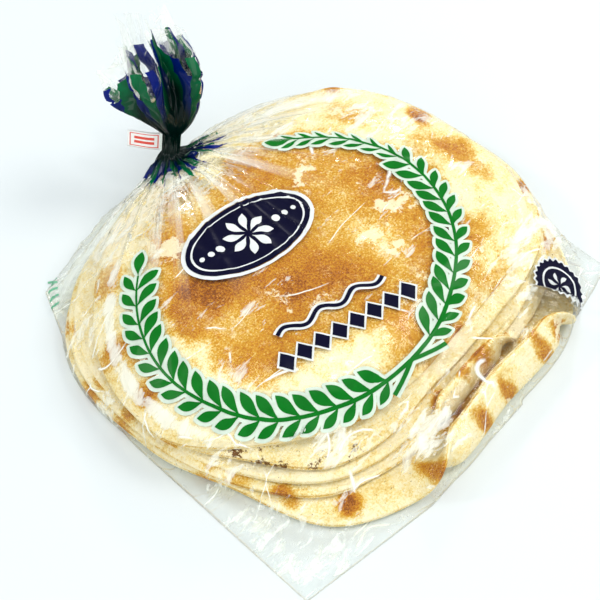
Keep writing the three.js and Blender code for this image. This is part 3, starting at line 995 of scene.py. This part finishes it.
def skirt_ring(step):
    """One ring of the gathered film, from the tie at step 0 out over the bag."""
    share = step / SKIRT_STEPS
    below = TIE - TIE_AXIS * TAPE_WIDTH / 2
    ring = []
    for side in range(NECK_SIDES):
        turn = 2 * math.pi * side / NECK_SIDES
        outward = neck_wide * math.cos(turn) + neck_deep * math.sin(turn)
        start = below + outward * WAIST_RADIUS * (1 + 0.06 * pleat(turn))
        plan = math.atan2(outward.y, outward.x) - math.radians(NECK_DIRECTION)
        across, along = -math.sin(plan), math.cos(plan)
        uneven = 1 + 0.25 * noise.noise(Vector((math.cos(turn) * 5, math.sin(turn) * 5, 9)))
        run = along * (SKIRT_DOWN if along > 0 else SKIRT_UP * uneven)
        end = film_at(NECK_DIRECTION + 6 - SKIRT_TURN * across * uneven, run)
        point = start.lerp(end, share ** 1.15)
        sag = TIE_AXIS * SKIRT_SAG * math.sin(math.pi * min(share * 1.3, 1)) * (1 - share)
        deep = math.sin(math.pi / 2 * min(share * 5, 1)) * (1 - share) ** 0.6
        fold = SKIRT_PLEAT * pleat(turn) * deep
        point = off_film(point - sag, 0.35)
        _, normal, _, _ = film_tree.find_nearest(point)
        ring.append(off_film(point + normal * fold, 0.25 + 0.2 * share))
    return ring


def frill_centre(share):
    """A point on the bent middle line of the frill and the line's direction there."""
    start = TIE + TIE_AXIS * TAPE_WIDTH / 2
    bend = start + TIE_AXIS * FRILL_BEND
    point = start * (1 - share) ** 2 + bend * 2 * share * (1 - share) + FRILL_END * share ** 2
    axis = (bend - start) * (1 - share) + (FRILL_END - bend) * share
    return point, axis.normalized()


# The frill's petals: direction round its axis, half width, how far each leans out, and rises.
FRILL_PETALS = [(4, 40, 16, -18), (-54, 36, 5, 9), (74, 46, 7, -4), (150, 40, 7, -6), (-128, 46, 1, 5)]
FRILL_RUFFLES = 8
RUFFLE_DEEP = 2.8       # how far they stand in and out at the mouth,
RUFFLE_LEAN = 2.6       # and swing sideways
PETAL_CURL = 0.3        # how far the sides of a petal are drawn out, as a share of its size
CRUMPLE_DEEP = 3.0      # depth of the sharp creases in its film
MOUTH_RAGGED = 2.5      # how uneven its mouth is


def frill_ring(step):
    """One ring of the frill: petals that lean out and overlap, with loose ruffles in each."""
    share = step / FRILL_STEPS
    centre, axis = frill_centre(share)
    wide = (TAB_DIRECTION - axis * TAB_DIRECTION.dot(axis)).normalized()
    deep = axis.cross(wide)
    opening = math.sin(math.pi / 2 * min(share / FRILL_OPENS, 1))
    closing = 1 - FRILL_CLOSES * smooth((share - FRILL_OPENS) / (1 - FRILL_OPENS))
    half = WAIST_RADIUS + (FRILL_RADIUS * closing - WAIST_RADIUS) * opening
    loose = smooth(share * 1.3)
    ring = []
    for side in range(NECK_SIDES):
        turn = 2 * math.pi * side / NECK_SIDES
        circle = Vector((math.cos(turn), math.sin(turn), 0))
        sway = noise.noise(circle * 1.3 + Vector((0, 0, 1.5 * share)))
        phase = FRILL_RUFFLES * turn + 2.5 * sway + 1.6 * share
        petal, lean_out, rise, curl = 0.0, 0.0, 0.0, 0.0
        for middle, width, out, up in FRILL_PETALS:
            inside = bump(math.degrees(turn), middle, width)
            offset = (math.degrees(turn) - middle + 180) % 360 - 180
            petal += inside
            lean_out += inside * out
            rise += inside * up
            curl += inside * offset / width
        reach = half * (1 - 0.5 * loose * (1 - min(petal, 1))) + share ** 1.6 * lean_out
        crumple = noise.voronoi(Vector((4.2 * math.cos(turn), 4.2 * math.sin(turn), 5 * share)))[0]
        reach += (0.4 + RUFFLE_DEEP * loose) * math.sin(phase)
        reach += 0.4 * pleat(turn + 0.2 * share) * (1 - smooth(share * 2))
        creased = loose * (1 - smooth((share - 0.65) / 0.25))
        reach -= CRUMPLE_DEEP * creased * math.exp(-((crumple[1] - crumple[0]) / 0.12) ** 2)
        lean = loose * (PETAL_CURL * half * curl + RUFFLE_LEAN * math.cos(phase))
        ragged = MOUTH_RAGGED * noise.noise(circle * 2 + Vector((5, 5, 5)))
        lift = share ** 1.7 * (rise + ragged)
        spread = wide * math.cos(turn) + deep * FRILL_FLAT * math.sin(turn)
        sideways = deep * math.cos(turn) - wide * math.sin(turn)
        ring.append(centre + spread * reach + sideways * lean + axis * lift)
    return ring


STRIPE_PAIRS = 15
FRILL_RUN = 74.0        # length of the film from the tape to the mouth
STRIPES_FROM = -22.0    # where the stripes start below the tie, and end before the mouth
STRIPES_TO = 58.0
STRIPES_RAGGED = 14.0
STRIPES_DRIFT = 0.55    # how far they wander sideways
GREEN_INK = (0.0, 0.17, 0.055)
NAVY_INK = (0.0, 0.010, 0.21)
LAYERED_INK = (0.0, 0.008, 0.006)   # many printed layers on top of one another, close to the tie
LAYERED_RUN = 52.0      # how far they reach over the frill, and a share of it under the tie
LAYERED_BELOW = 0.38
LAYERED_COVERED = 0.42  # how dark they are before they hide the clear gaps
INK_OPACITY = 0.75
PETAL_GAP_SHADE = 0.6       # painted shade: how much darker the film is that is folded in between the petals


def stripes_group():
    """Which ink covers the sleeve at a spot: its colour, with painted shade between the petals, and a
    mask that is 0 between the stripes.
    """
    results = {"Colour": "Color", "Inked": "Float"}
    group, enter, leave = node_group("neck_stripes", ["Around", "Along", "Folded"], results)
    around, along, folded = (enter.outputs[name] for name in ("Around", "Along", "Folded"))
    drift = noise_node(group, add_node(group, "TexCoord").outputs["Object"], 44)
    phase = math_node(group, "FRACT", math_node(group, "MULTIPLY_ADD", drift, STRIPES_DRIFT, around))
    ink = colour_ramp(group, phase, [(0.0, GREEN_INK), (0.5, NAVY_INK)], "CONSTANT")
    bands = grey_ramp(group, phase, [(0.0, 1), (0.34, 0), (0.5, 1), (0.8, 0)], "CONSTANT")
    uneven = {"W": around, "Scale": 1.7, "Detail": 1.0}
    pleats = add_node(group, "TexNoise", uneven, noise_dimensions="1D").outputs["Fac"]
    lowest = STRIPES_FROM - STRIPES_RAGGED
    end = math_node(group, "MULTIPLY_ADD", pleats, STRIPES_RAGGED * 2, lowest)
    started = math_node(group, "GREATER_THAN", along, end)
    ended = math_node(group, "LESS_THAN", along, STRIPES_TO)
    striped = math_node(group, "MULTIPLY", bands, math_node(group, "MULTIPLY", started, ended))

    # Where the film is gathered, its printed layers lie on top of one another and look dark.
    over = math_node(group, "MULTIPLY", along, 1 / LAYERED_RUN)
    under = math_node(group, "MULTIPLY", along, -1 / (LAYERED_RUN * LAYERED_BELOW))
    away = math_node(group, "MULTIPLY_ADD", drift, 0.6, math_node(group, "MAXIMUM", over, under))
    layers = math_node(group, "SUBTRACT", 1.45, away)
    # Painted shade: the film folded in between the petals is darkened further, on top of its stacked
    # print.
    layers = math_node(group, "MULTIPLY_ADD", folded, PETAL_GAP_SHADE, layers)
    layered = add_node(group, "Clamp", {"Value": layers}).outputs[0]
    filled = math_node(group, "GREATER_THAN", layered, LAYERED_COVERED)
    darkened = mix_colours(group, layered, ink, (*LAYERED_INK, 1))
    feed(group, leave, {"Colour": darkened, "Inked": math_node(group, "MAXIMUM", striped, filled)})
    return group


neck_stripes = stripes_group()


def striped_film_material():
    """The clear film with stripes of translucent ink along it, fading in over the bag's own film."""
    material = film_material("striped_film")
    tree = material.node_tree
    out = next(node for node in tree.nodes if node.type == "OUTPUT_MATERIAL")
    film = out.inputs["Surface"].links[0].from_socket
    marks = {label: painted(tree, label.lower()) for label in ("Around", "Along", "Folded")}
    stripes = add_node(tree, "Group", marks, node_tree=neck_stripes)
    colour = stripes.outputs["Colour"]
    ink = add_node(tree, "BsdfPrincipled", {
        "Base Color": colour, "Roughness": 0.3, "Specular IOR Level": 0.05,
        "Coat Weight": 0.3, "Coat Roughness": 0.03,
    })
    layer = mix_shaders(tree, INK_OPACITY, see_through(tree, colour), ink.outputs[0])
    mixed = mix_shaders(tree, stripes.outputs["Inked"], film, layer)
    nothing = see_through(tree, (1, 1, 1, 1))
    feed(tree, out, {"Surface": mix_shaders(tree, painted(tree, "shown"), nothing, mixed)})
    return material


striped_film = striped_film_material()
NECK_GLARE = 0.04        # how much painted glare whitens its film
SKIRT_FADE = 0.45       # share of the gathered film over which it fades in


def make_neck():
    rings = [skirt_ring(step) for step in range(SKIRT_STEPS, -1, -1)]
    rings += [frill_ring(step) for step in range(FRILL_STEPS + 1)]
    points = [point for ring in rings for point in ring]
    marks = {"around": [], "along": [], "folded": [], "glare_mask": [], "shown": []}
    below = TIE - TIE_AXIS * TAPE_WIDTH / 2
    for number, ring in enumerate(rings):
        in_skirt = number <= SKIRT_STEPS
        past_tie = FRILL_RUN * (number - SKIRT_STEPS - 1) / FRILL_STEPS
        for side, point in enumerate(ring):
            degrees = 360 * side / NECK_SIDES
            petals = sum(bump(degrees, middle, width) for middle, width, _, _ in FRILL_PETALS)
            marks["around"].append(STRIPE_PAIRS * side / NECK_SIDES)
            marks["along"].append(WAIST_RADIUS - (point - below).length if in_skirt else past_tie)
            marks["folded"].append(0.0 if in_skirt else 1 - min(petals, 1))
            marks["glare_mask"].append(NECK_GLARE)
            marks["shown"].append(smooth(number / (SKIRT_STEPS * SKIRT_FADE)))
    piece = make_piece("bag_neck", points, ring_faces(NECK_SIDES, len(rings)), striped_film, marks)
    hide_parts("filled_bag")


make_neck()


# The closing tape: a strip of clear tape wound once round the neck and stuck to itself in a tab.
# The tab carries a white paper label, with a red printed border and two plain red bars.
TAPE_THICK = 0.45       # half the gap between the two layers of the tab
PAPER_THICK = 0.16
TAPE_RADIUS = WAIST_RADIUS + 0.75
TAB_LENGTH = 21.0
TURN_STEPS = 40
TAB_STEPS = 16
WIDTH_STEPS = 8
TAPE_PAPER = (0.86, 0.85, 0.81)
TAPE_RED = (0.70, 0.06, 0.035)
TAPE_CLEAR = (0.97, 0.98, 0.96)
# The label, in millimetres out from the neck: where it starts, and then the outside and the inside
# of its border and its bars, each with the shares of the half width between which it lies.
LABEL_FROM = 0.8
BORDER_OUTSIDE = (1.6, 19.7, -1.0, 0.80)
BORDER_INSIDE = (2.3, 19.0, -1.0, 0.70)
BARS = (4.2, 16.8, 0.10, 0.42)


def tape_path():
    """Points of the strip's middle, as (across, deep): in along the tab, round the neck, and out."""
    open_turn = math.asin(TAPE_THICK / TAPE_RADIUS)
    ring = []
    for step in range(TURN_STEPS + 1):
        turn = open_turn + (2 * math.pi - 2 * open_turn) * step / TURN_STEPS
        ring.append((TAPE_RADIUS * math.cos(turn), TAPE_RADIUS * math.sin(turn)))
    tab = [(TAPE_RADIUS + TAB_LENGTH * step / TAB_STEPS, TAPE_THICK) for step in range(1, TAB_STEPS + 1)]
    return tab[::-1] + ring + [(across, -deep) for across, deep in tab]


def tape_material():
    """Clear tape round the neck, and a printed paper label on its tab."""
    material, tree, shader, out = new_material("printed_paper_tape")
    run = painted(tree, "run")
    edge = math_node(tree, "ABSOLUTE", painted(tree, "width"))

    def between(value, low, high):
        above = math_node(tree, "GREATER_THAN", value, low)
        return math_node(tree, "MULTIPLY", above, math_node(tree, "LESS_THAN", value, high))

    def box(run_from, run_to, edge_from, edge_to):
        along = between(run, run_from, run_to)
        return math_node(tree, "MULTIPLY", along, between(edge, edge_from, edge_to))

    border = math_node(tree, "SUBTRACT", box(*BORDER_OUTSIDE), box(*BORDER_INSIDE))
    red = math_node(tree, "MAXIMUM", border, box(*BARS))
    fibre = noise_node(tree, add_node(tree, "TexCoord").outputs["Object"], 900, 4)
    feed(tree, shader, {
        "Base Color": mix_colours(tree, red, (*TAPE_PAPER, 1), (*TAPE_RED, 1)),
        "Roughness": 0.5, "Normal": relief(tree, fibre, 0.2, 0.0003),
    })
    label = math_node(tree, "GREATER_THAN", run, LABEL_FROM)
    clear = see_through(tree, (*TAPE_CLEAR, 1))
    feed(tree, out, {"Surface": mix_shaders(tree, label, clear, shader.outputs[0])})
    return material


def make_tape():
    path = tape_path()
    points, faces, marks = [], [], {"run": [], "width": []}
    for across, deep in path:
        out = max(across - TAPE_RADIUS, 0)
        for step in range(WIDTH_STEPS + 1):
            side = 2 * step / WIDTH_STEPS - 1
            curl = 0.9 * math.sin(out * 0.22) + 0.5 * side * (out / TAB_LENGTH) ** 2
            curled = neck_deep * (deep + curl * clamp(out / 4))
            points.append(TIE + neck_wide * across + curled + TIE_AXIS * side * TAPE_WIDTH / 2)
            marks["run"].append(out)
            marks["width"].append(side)
    for index in range(len(path) - 1):
        for step in range(WIDTH_STEPS):
            a = index * (WIDTH_STEPS + 1) + step
            faces.append((a, a + 1, a + WIDTH_STEPS + 2, a + WIDTH_STEPS + 1))
    piece = make_piece("closing_tape_strip", points, faces, tape_material(), marks)
    solid = piece.modifiers.new("paper", "SOLIDIFY")
    solid.thickness = PAPER_THICK * MM
    solid.offset = 0
    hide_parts("closing_tape")


make_tape()


# The print: opaque ink on the outside of the film. Each shape is a thin sheet laid on the film, over
# a slightly larger pale one that shows as its outline, as on the real bag.
KEYLINE_LIFT = 0.25     # how far each layer stands off the film
INK_LIFT = 0.45
MARK_LIFT = 0.65
KEYLINE = 1.9           # how far the pale outline stands out
LEAF_GREEN = (0.001, 0.125, 0.008)
PALE_INK = (0.50, 0.58, 0.48)
WHITE_INK = (0.60, 0.62, 0.60)
FAINT_GREEN = (0.13, 0.36, 0.22)
DEEP_NAVY = (0.0008, 0.0008, 0.014)


def ink_material(name, colour):
    """Glossy printing ink, a little uneven in strength, creased with the film under it."""
    material, tree, shader, _ = new_material(name)
    cloud = noise_node(tree, add_node(tree, "TexCoord").outputs["Object"], 140, 4)
    lighter = tuple(min(channel * 1.25 + 0.001, 1) for channel in colour)
    feed(tree, shader, {
        "Base Color": colour_ramp(tree, cloud, [(0.35, colour), (0.75, lighter)]), "Roughness": 0.32,
        "Specular IOR Level": 0.1, "Normal": relief(tree, cloud, 0.15, 0.0008),
    })
    return material


green_ink = ink_material("green_ink", LEAF_GREEN)
pale_ink = ink_material("pale_keyline_ink", PALE_INK)
white_ink = ink_material("white_ink", WHITE_INK)
faint_green_ink = ink_material("faint_green_ink", FAINT_GREEN)
navy_ink = ink_material("navy_ink", DEEP_NAVY)


class InkSheet:
    """Flat shapes gathered into one thin sheet that lies on the film."""

    def __init__(self, lift):
        self.lift, self.points, self.faces = lift, [], []

    def strip(self, rows):
        """A band between rows of places, each row a list of (x, y) from one side to the other."""
        first, count = len(self.points), len(rows[0])
        for row in rows:
            self.points += [on_film(x, y, self.lift) for x, y in row]
        for line in range(len(rows) - 1):
            for step in range(count - 1):
                a = first + line * count + step
                self.faces.append((a, a + count, a + count + 1, a + 1))

    def finish(self, name, material):
        piece = make_piece(name, self.points, self.faces, material)
        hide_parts("filled_bag")


def placed(middle, bearing, u, v=0.0):
    """The place at (u, v) on axes that stand at a middle and are turned by a bearing."""
    return (
        middle[0] + u * math.cos(bearing) - v * math.sin(bearing),
        middle[1] + u * math.sin(bearing) + v * math.cos(bearing),
    )


def band_rows(path, width_at, across=4):
    """Rows across a path of (x, y) points, with a half width given at each share of its length."""
    rows = []
    for index, (x, y) in enumerate(path):
        x0, y0 = path[max(index - 1, 0)]
        x1, y1 = path[min(index + 1, len(path) - 1)]
        length = math.hypot(x1 - x0, y1 - y0)
        nx, ny = -(y1 - y0) / length, (x1 - x0) / length
        half = width_at(index / (len(path) - 1))
        asides = [half * (2 * step / across - 1) for step in range(across + 1)]
        rows.append([(x + nx * aside, y + ny * aside) for aside in asides])
    return rows


LEAF_STEPS = 12
LEAF_BOW = 0.9          # how far a leaf bends to one side


def leaf_rows(foot, bearing, length, half, grow=0.0):
    """A leaf from its foot: narrow, widest past the middle, pointed, and grown all round."""
    path = []
    for step in range(LEAF_STEPS + 1):
        run = -grow + (length + 2 * grow) * step / LEAF_STEPS
        path.append(placed(foot, bearing, run, LEAF_BOW * math.sin(math.pi * step / LEAF_STEPS)))

    def width_at(share):
        body = math.sin(math.pi * share ** 1.45) ** 0.95 if share < 1 else 0
        return max(half * body, 0.05) + grow * math.sin(math.pi * clamp(share * 0.94 + 0.03)) ** 0.5

    return band_rows(path, width_at)


# The wreath: two laurel branches in green ink with a pale outline, which start from crossed stems
# at the bottom and curve up round an oval, with leaves in pairs.
WREATH_MIDDLE = (-14.8, 5.2)
WREATH_HALF = (103.0, 87.0)
WREATH_BEARING = math.radians(7.5)
WREATH_CROSSING = 260.4     # degrees round the oval where the two stems cross
BRANCHES = [(122.0, -1), (399.0, 1)]    # where each branch ends, and which way round it grows
LEAF_SPACING = 10.8
LEAF_FIRST = 17.0           # from the bare tail of a stem to the first pair of leaves
INNER_LEAF = (17.5, 3.1, 44.0)  # length, half width and angle to the stem
OUTER_LEAF = (14.5, 2.5, 32.0)
FOLDED_FROM = 0.66      # share of the far branch from which its leaves are drawn narrower, where a fold of the real film hides half of each
FOLDED_NARROW = 0.42
STEM_HALF = 1.0
STEM_STEPS = 120
STEM_TAIL = 12.0            # degrees of bare stem past the crossing
TAIL_STEPS = 11
STEM_SPLAY = 9.0            # how far outside the oval its end swings


def wreath_spot(degrees, outward):
    turn = math.radians(degrees)
    u = (WREATH_HALF[0] + outward) * math.cos(turn)
    v = (WREATH_HALF[1] + outward) * math.sin(turn)
    return placed(WREATH_MIDDLE, WREATH_BEARING, u, v)


def stem_line(end, way):
    """The middle line of a branch's stem, from its tail past the crossing to its tip."""
    span = abs(end - WREATH_CROSSING)
    stem = []
    for step in range(STEM_STEPS + 1):
        swept = -STEM_TAIL + (span + STEM_TAIL) * step / STEM_STEPS
        outward = STEM_SPLAY * max(-swept, 0) / STEM_TAIL
        stem.append(wreath_spot(WREATH_CROSSING + way * swept, outward))
    return stem


def stem_width(share):
    return STEM_HALF * (1.25 - 0.7 * share)


def make_wreath():
    leaves, outline = InkSheet(INK_LIFT), InkSheet(KEYLINE_LIFT)

    def draw_leaf(foot, bearing, length, half):
        leaves.strip(leaf_rows(foot, bearing, length, half))
        outline.strip(leaf_rows(foot, bearing, length, half, KEYLINE))

    for end, way in BRANCHES:
        stem = stem_line(end, way)
        leaves.strip(band_rows(stem, stem_width))
        outline.strip(band_rows(stem, lambda share: stem_width(share) + KEYLINE))
        run = -LEAF_FIRST
        for station in range(TAIL_STEPS, STEM_STEPS):
            here, after = stem[station], stem[station + 1]
            run += math.dist(here, after)
            if run < 0:
                continue
            run -= LEAF_SPACING
            forward = math.atan2(after[1] - here[1], after[0] - here[0])
            folded = smooth((station / STEM_STEPS - FOLDED_FROM) / 0.05) if way > 0 else 0
            slim = 1 - (1 - FOLDED_NARROW) * folded
            for side, (length, half, angle) in ((way, INNER_LEAF), (-way, OUTER_LEAF)):
                bearing = forward + side * math.radians(angle * (1 - 0.4 * folded))
                draw_leaf(here, bearing, length * (1 - 0.2 * folded), half * slim)
        (x0, y0), (x1, y1) = stem[-2:]
        draw_leaf(stem[-1], math.atan2(y1 - y0, x1 - x0), INNER_LEAF[0], INNER_LEAF[1])
    outline.finish("printed_wreath_outline", pale_ink)
    leaves.finish("printed_wreath", green_ink)


make_wreath()
DISC_STEPS = 120


def disc_rows(middle, half_wide, half_high, bearing, inner=0.0, scallops=0, depth=0.0, rings=24):
    """An oval, or an oval ring, as rows round it, with an optional scalloped edge."""
    rows = []
    for step in range(DISC_STEPS + 1):
        turn = 2 * math.pi * step / DISC_STEPS
        edge = 1 + depth * math.cos(scallops * turn)
        row = []
        for ring in range(rings + 1):
            share = (inner + (1 - inner) * ring / rings) * edge
            u, v = half_wide * share * math.cos(turn), half_high * share * math.sin(turn)
            row.append(placed(middle, bearing, u, v))
        rows.append(row)
    return rows


# The medallion in the wreath's upper half: a plain navy oval with a white edge, and on it a thin
# white ring, a rosette of eight petals, and three dots to each side.
MEDALLION = (-17.0, 41.0)
MEDALLION_HALF = (42.0, 23.0)
MEDALLION_EDGE = 2.6
MEDALLION_RING = 3.2    # how far in from the edge the thin ring runs
PRINT_BEARING = math.radians(-12)
ROSETTE_PETALS = 8
PETAL_FOOT, PETAL_LENGTH, PETAL_HALF = 2.5, 13.0, 2.6
DOTS = 3
DOT_FROM, DOT_STEP = 20.0, 6.5
DOT_SIZE, DOT_SHRINK = 2.6, 0.55


def make_medallion():
    wide, high = MEDALLION_HALF
    edge, field, marks = InkSheet(KEYLINE_LIFT), InkSheet(INK_LIFT), InkSheet(MARK_LIFT)
    outer = (wide + MEDALLION_EDGE, high + MEDALLION_EDGE, PRINT_BEARING)
    inner = (wide - MEDALLION_RING, high - MEDALLION_RING, PRINT_BEARING)
    edge.strip(disc_rows(MEDALLION, *outer, inner=0.92, rings=3))
    field.strip(disc_rows(MEDALLION, wide, high, PRINT_BEARING))
    marks.strip(disc_rows(MEDALLION, *inner, inner=0.965, rings=1))
    for petal in range(ROSETTE_PETALS):
        bearing = PRINT_BEARING + 2 * math.pi * (petal + 0.5) / ROSETTE_PETALS
        foot = placed(MEDALLION, bearing, PETAL_FOOT)
        marks.strip(leaf_rows(foot, bearing, PETAL_LENGTH, PETAL_HALF))
    for side in (-1, 1):
        for step in range(DOTS):
            spot = placed(MEDALLION, PRINT_BEARING, side * (DOT_FROM + DOT_STEP * step))
            size = DOT_SIZE - DOT_SHRINK * step
            marks.strip(disc_rows(spot, size, size, PRINT_BEARING, rings=2))
    edge.finish("printed_medallion_edge", white_ink)
    field.finish("printed_medallion", navy_ink)
    marks.finish("printed_medallion_marks", white_ink)


make_medallion()


# The two rows under the medallion: a wavy line, and a row of plain lozenges, in navy with a white
# outline.
ROW_FROM = (-77.0, -33.0)
ROW_TO = (16.0, -57.0)
ROW_EDGE = 1.6          # how far the white outline stands out
LOZENGES = 8
LOZENGE_TALL = 6.4
LOZENGE_GAP = 0.9
WAVES = 3
WAVE_STEPS = 60
WAVE_RISE = 17.0        # how far the wavy line runs above the lozenges,
WAVE_SWING = 2.6        # how far it swings,
WAVE_HALF = 1.2         # half its width,
WAVE_FROM, WAVE_SPAN = 0.12, 0.76   # and where it starts and how long it is, as shares of the row


def lozenge_rows(middle, bearing, half, tall):
    path = [placed(middle, bearing, half * (step / 5 - 1)) for step in range(11)]
    return band_rows(path, lambda share: max(tall * (1 - abs(2 * share - 1)), 0.1))


def make_rows():
    edge, ink = InkSheet(KEYLINE_LIFT), InkSheet(INK_LIFT)
    dx, dy = ROW_TO[0] - ROW_FROM[0], ROW_TO[1] - ROW_FROM[1]
    length, bearing = math.hypot(dx, dy), math.atan2(dy, dx)
    half = length / LOZENGES / 2 - LOZENGE_GAP
    for number in range(LOZENGES):
        share = (number + 0.5) / LOZENGES
        middle = (ROW_FROM[0] + dx * share, ROW_FROM[1] + dy * share)
        edge.strip(lozenge_rows(middle, bearing, half + ROW_EDGE, LOZENGE_TALL + ROW_EDGE))
        ink.strip(lozenge_rows(middle, bearing, half, LOZENGE_TALL))
    path = []
    for step in range(WAVE_STEPS + 1):
        run = length * (WAVE_FROM + WAVE_SPAN * step / WAVE_STEPS)
        rise = WAVE_RISE + WAVE_SWING * math.sin(2 * math.pi * WAVES * step / WAVE_STEPS)
        path.append(placed(ROW_FROM, bearing, run, rise))
    edge.strip(band_rows(path, lambda share: WAVE_HALF + 1.5))
    ink.strip(band_rows(path, lambda share: WAVE_HALF))
    edge.finish("printed_rows_edge", white_ink)
    ink.finish("printed_rows", navy_ink)


make_rows()


# The seal by the right corner and the small mark on the left: a scalloped navy disc with a white
# edge, ring and rosette, and five short green bars.
SEAL = (93.0, -108.0)
SEAL_HALF = 15.0
SEAL_EDGE = 1.2
SEAL_RING = 0.74        # size of its white ring, as a share
SEAL_SCALLOPS = 24
SEAL_PETALS = 6
SEAL_PETAL_FOOT, SEAL_PETAL_LENGTH, SEAL_PETAL_HALF = 1.5, 6.0, 1.2
SIDE_MARK = (-93.0, 135.0)
SIDE_BARS = 5
SIDE_BAR = 6.0          # length of each, half its width, its direction, and the step to the next
SIDE_BAR_HALF = 0.8
SIDE_BAR_WAY = (0.8, -0.6)
SIDE_BAR_STEP = (-3.2, -4.1)


def make_seal():
    edge, disc, ring = InkSheet(KEYLINE_LIFT), InkSheet(INK_LIFT), InkSheet(MARK_LIFT)
    outer, inner = SEAL_HALF + SEAL_EDGE, SEAL_HALF * SEAL_RING
    edge.strip(disc_rows(SEAL, outer, outer, 0, 0.85, scallops=SEAL_SCALLOPS, depth=0.04, rings=3))
    disc.strip(disc_rows(SEAL, SEAL_HALF, SEAL_HALF, 0, scallops=SEAL_SCALLOPS, depth=0.045))
    ring.strip(disc_rows(SEAL, inner, inner, 0, inner=0.9, rings=1))
    for petal in range(SEAL_PETALS):
        bearing = 2 * math.pi * petal / SEAL_PETALS
        foot = placed(SEAL, bearing, SEAL_PETAL_FOOT)
        ring.strip(leaf_rows(foot, bearing, SEAL_PETAL_LENGTH, SEAL_PETAL_HALF))
    edge.finish("printed_seal_edge", white_ink)
    disc.finish("printed_seal", navy_ink)
    ring.finish("printed_seal_ring", white_ink)


def make_side_mark():
    mark = InkSheet(INK_LIFT)
    for bar in range(SIDE_BARS):
        path = []
        for step in range(7):
            run = SIDE_BAR * (step / 3 - 1) / 2
            path.append((
                SIDE_MARK[0] + SIDE_BAR_WAY[0] * run + SIDE_BAR_STEP[0] * bar,
                SIDE_MARK[1] + SIDE_BAR_WAY[1] * run + SIDE_BAR_STEP[1] * bar,
            ))
        mark.strip(band_rows(path, lambda share: SIDE_BAR_HALF))
    mark.finish("printed_side_mark", faint_green_ink)


make_seal()
make_side_mark()


# The floor is a plain pale sheet. It isn't part of the object.
FLOOR_HALF = 4.0
FLOOR_COLOUR = (0.645, 0.684, 0.68)


def make_floor():
    mesh = bpy.data.meshes.new("floor")
    corners = [(-1, -1), (1, -1), (1, 1), (-1, 1)]
    mesh.from_pydata([(x * FLOOR_HALF, y * FLOOR_HALF, 0) for x, y in corners], [], [(0, 1, 2, 3)])
    material, tree, shader, _ = new_material("pale_floor")
    feed(tree, shader, {"Base Color": (*FLOOR_COLOUR, 1), "Roughness": 0.7})
    mesh.materials.append(material)
    floor = bpy.data.objects.new("floor", mesh)
    bpy.context.scene.collection.objects.link(floor)


make_floor()


# The light: a bright even room, a soft key lamp from the right, a weaker one from below the
# camera, and three narrow ones behind, on the left and high up, whose shine shows on the film.
LAMPS = [       # name, bearing, elevation, distance, size, power
    ("key", 60, 48, 1.7, 0.6, 12),
    ("fill", -48, 24, 1.7, 0.9, 8),
    ("strip_back", 118, 30, 1.6, 0.14, 3.0),
    ("strip_left", -140, 42, 1.5, 0.14, 3.5),
    ("strip_high", 20, 74, 1.7, 0.12, 2.0),
]
SKY_TINT = (0.92, 0.96, 1.0, 1)
# How bright the room is, from straight up at 1 to the horizon at 0, and the scale of the ramp.
SKY_BRIGHTNESS = [(0.0, 1.1), (0.5, 0.85), (0.66, 0.45), (0.90, 0.45), (0.94, 2.5), (1.0, 2.8)]
SKY_SCALE = 3.0


def direction_to(bearing, elevation):
    """The direction of a lamp or the camera: bearing 0 is in front, and 90 at the right."""
    turn, rise = math.radians(bearing), math.radians(elevation)
    return Vector((math.sin(turn) * math.cos(rise), -math.cos(turn) * math.cos(rise), math.sin(rise)))


def add_lamp(name, bearing, elevation, distance, size, power):
    data = bpy.data.lights.new(name, "AREA")
    data.shape = "SQUARE"
    data.size = size
    data.energy = power
    lamp = bpy.data.objects.new(name, data)
    towards = direction_to(bearing, elevation)
    lamp.location = towards * distance
    lamp.rotation_euler = towards.to_track_quat("Z", "Y").to_euler()
    bpy.context.scene.collection.objects.link(lamp)


for lamp_values in LAMPS:
    add_lamp(*lamp_values)
world = bpy.data.worlds.new("room")
world.use_nodes = True
sky = world.node_tree
upward = add_node(sky, "SeparateXYZ", {0: add_node(sky, "TexCoord").outputs["Generated"]}).outputs["Z"]
brightness = grey_ramp(sky, upward, [(place, level / SKY_SCALE) for place, level in SKY_BRIGHTNESS])
strength = math_node(sky, "MULTIPLY", brightness, SKY_SCALE)
feed(sky, sky.nodes["Background"], {"Color": SKY_TINT, "Strength": strength})
bpy.context.scene.world = world
bpy.context.scene.view_settings.view_transform = "Standard"
bpy.context.scene.cycles.transparent_max_bounces = 32


# The camera: a long lens from the front left, high over the bag.
VIEW_AZIMUTH = -50.0
VIEW_ELEVATION = 53.0
VIEW_DISTANCE = 0.865
VIEW_TARGET = Vector((-0.019, 0.0, 0.022))
VIEW_ANGLE = 23.0
camera_data = bpy.data.cameras.new("camera")
camera_data.sensor_fit = "HORIZONTAL"
camera_data.angle = math.radians(VIEW_ANGLE)
camera = bpy.data.objects.new("camera", camera_data)
view_back = direction_to(VIEW_AZIMUTH, VIEW_ELEVATION)
camera.location = VIEW_TARGET + view_back * VIEW_DISTANCE
camera.rotation_euler = view_back.to_track_quat("Z", "Y").to_euler()
bpy.context.scene.collection.objects.link(camera)
bpy.context.scene.camera = camera
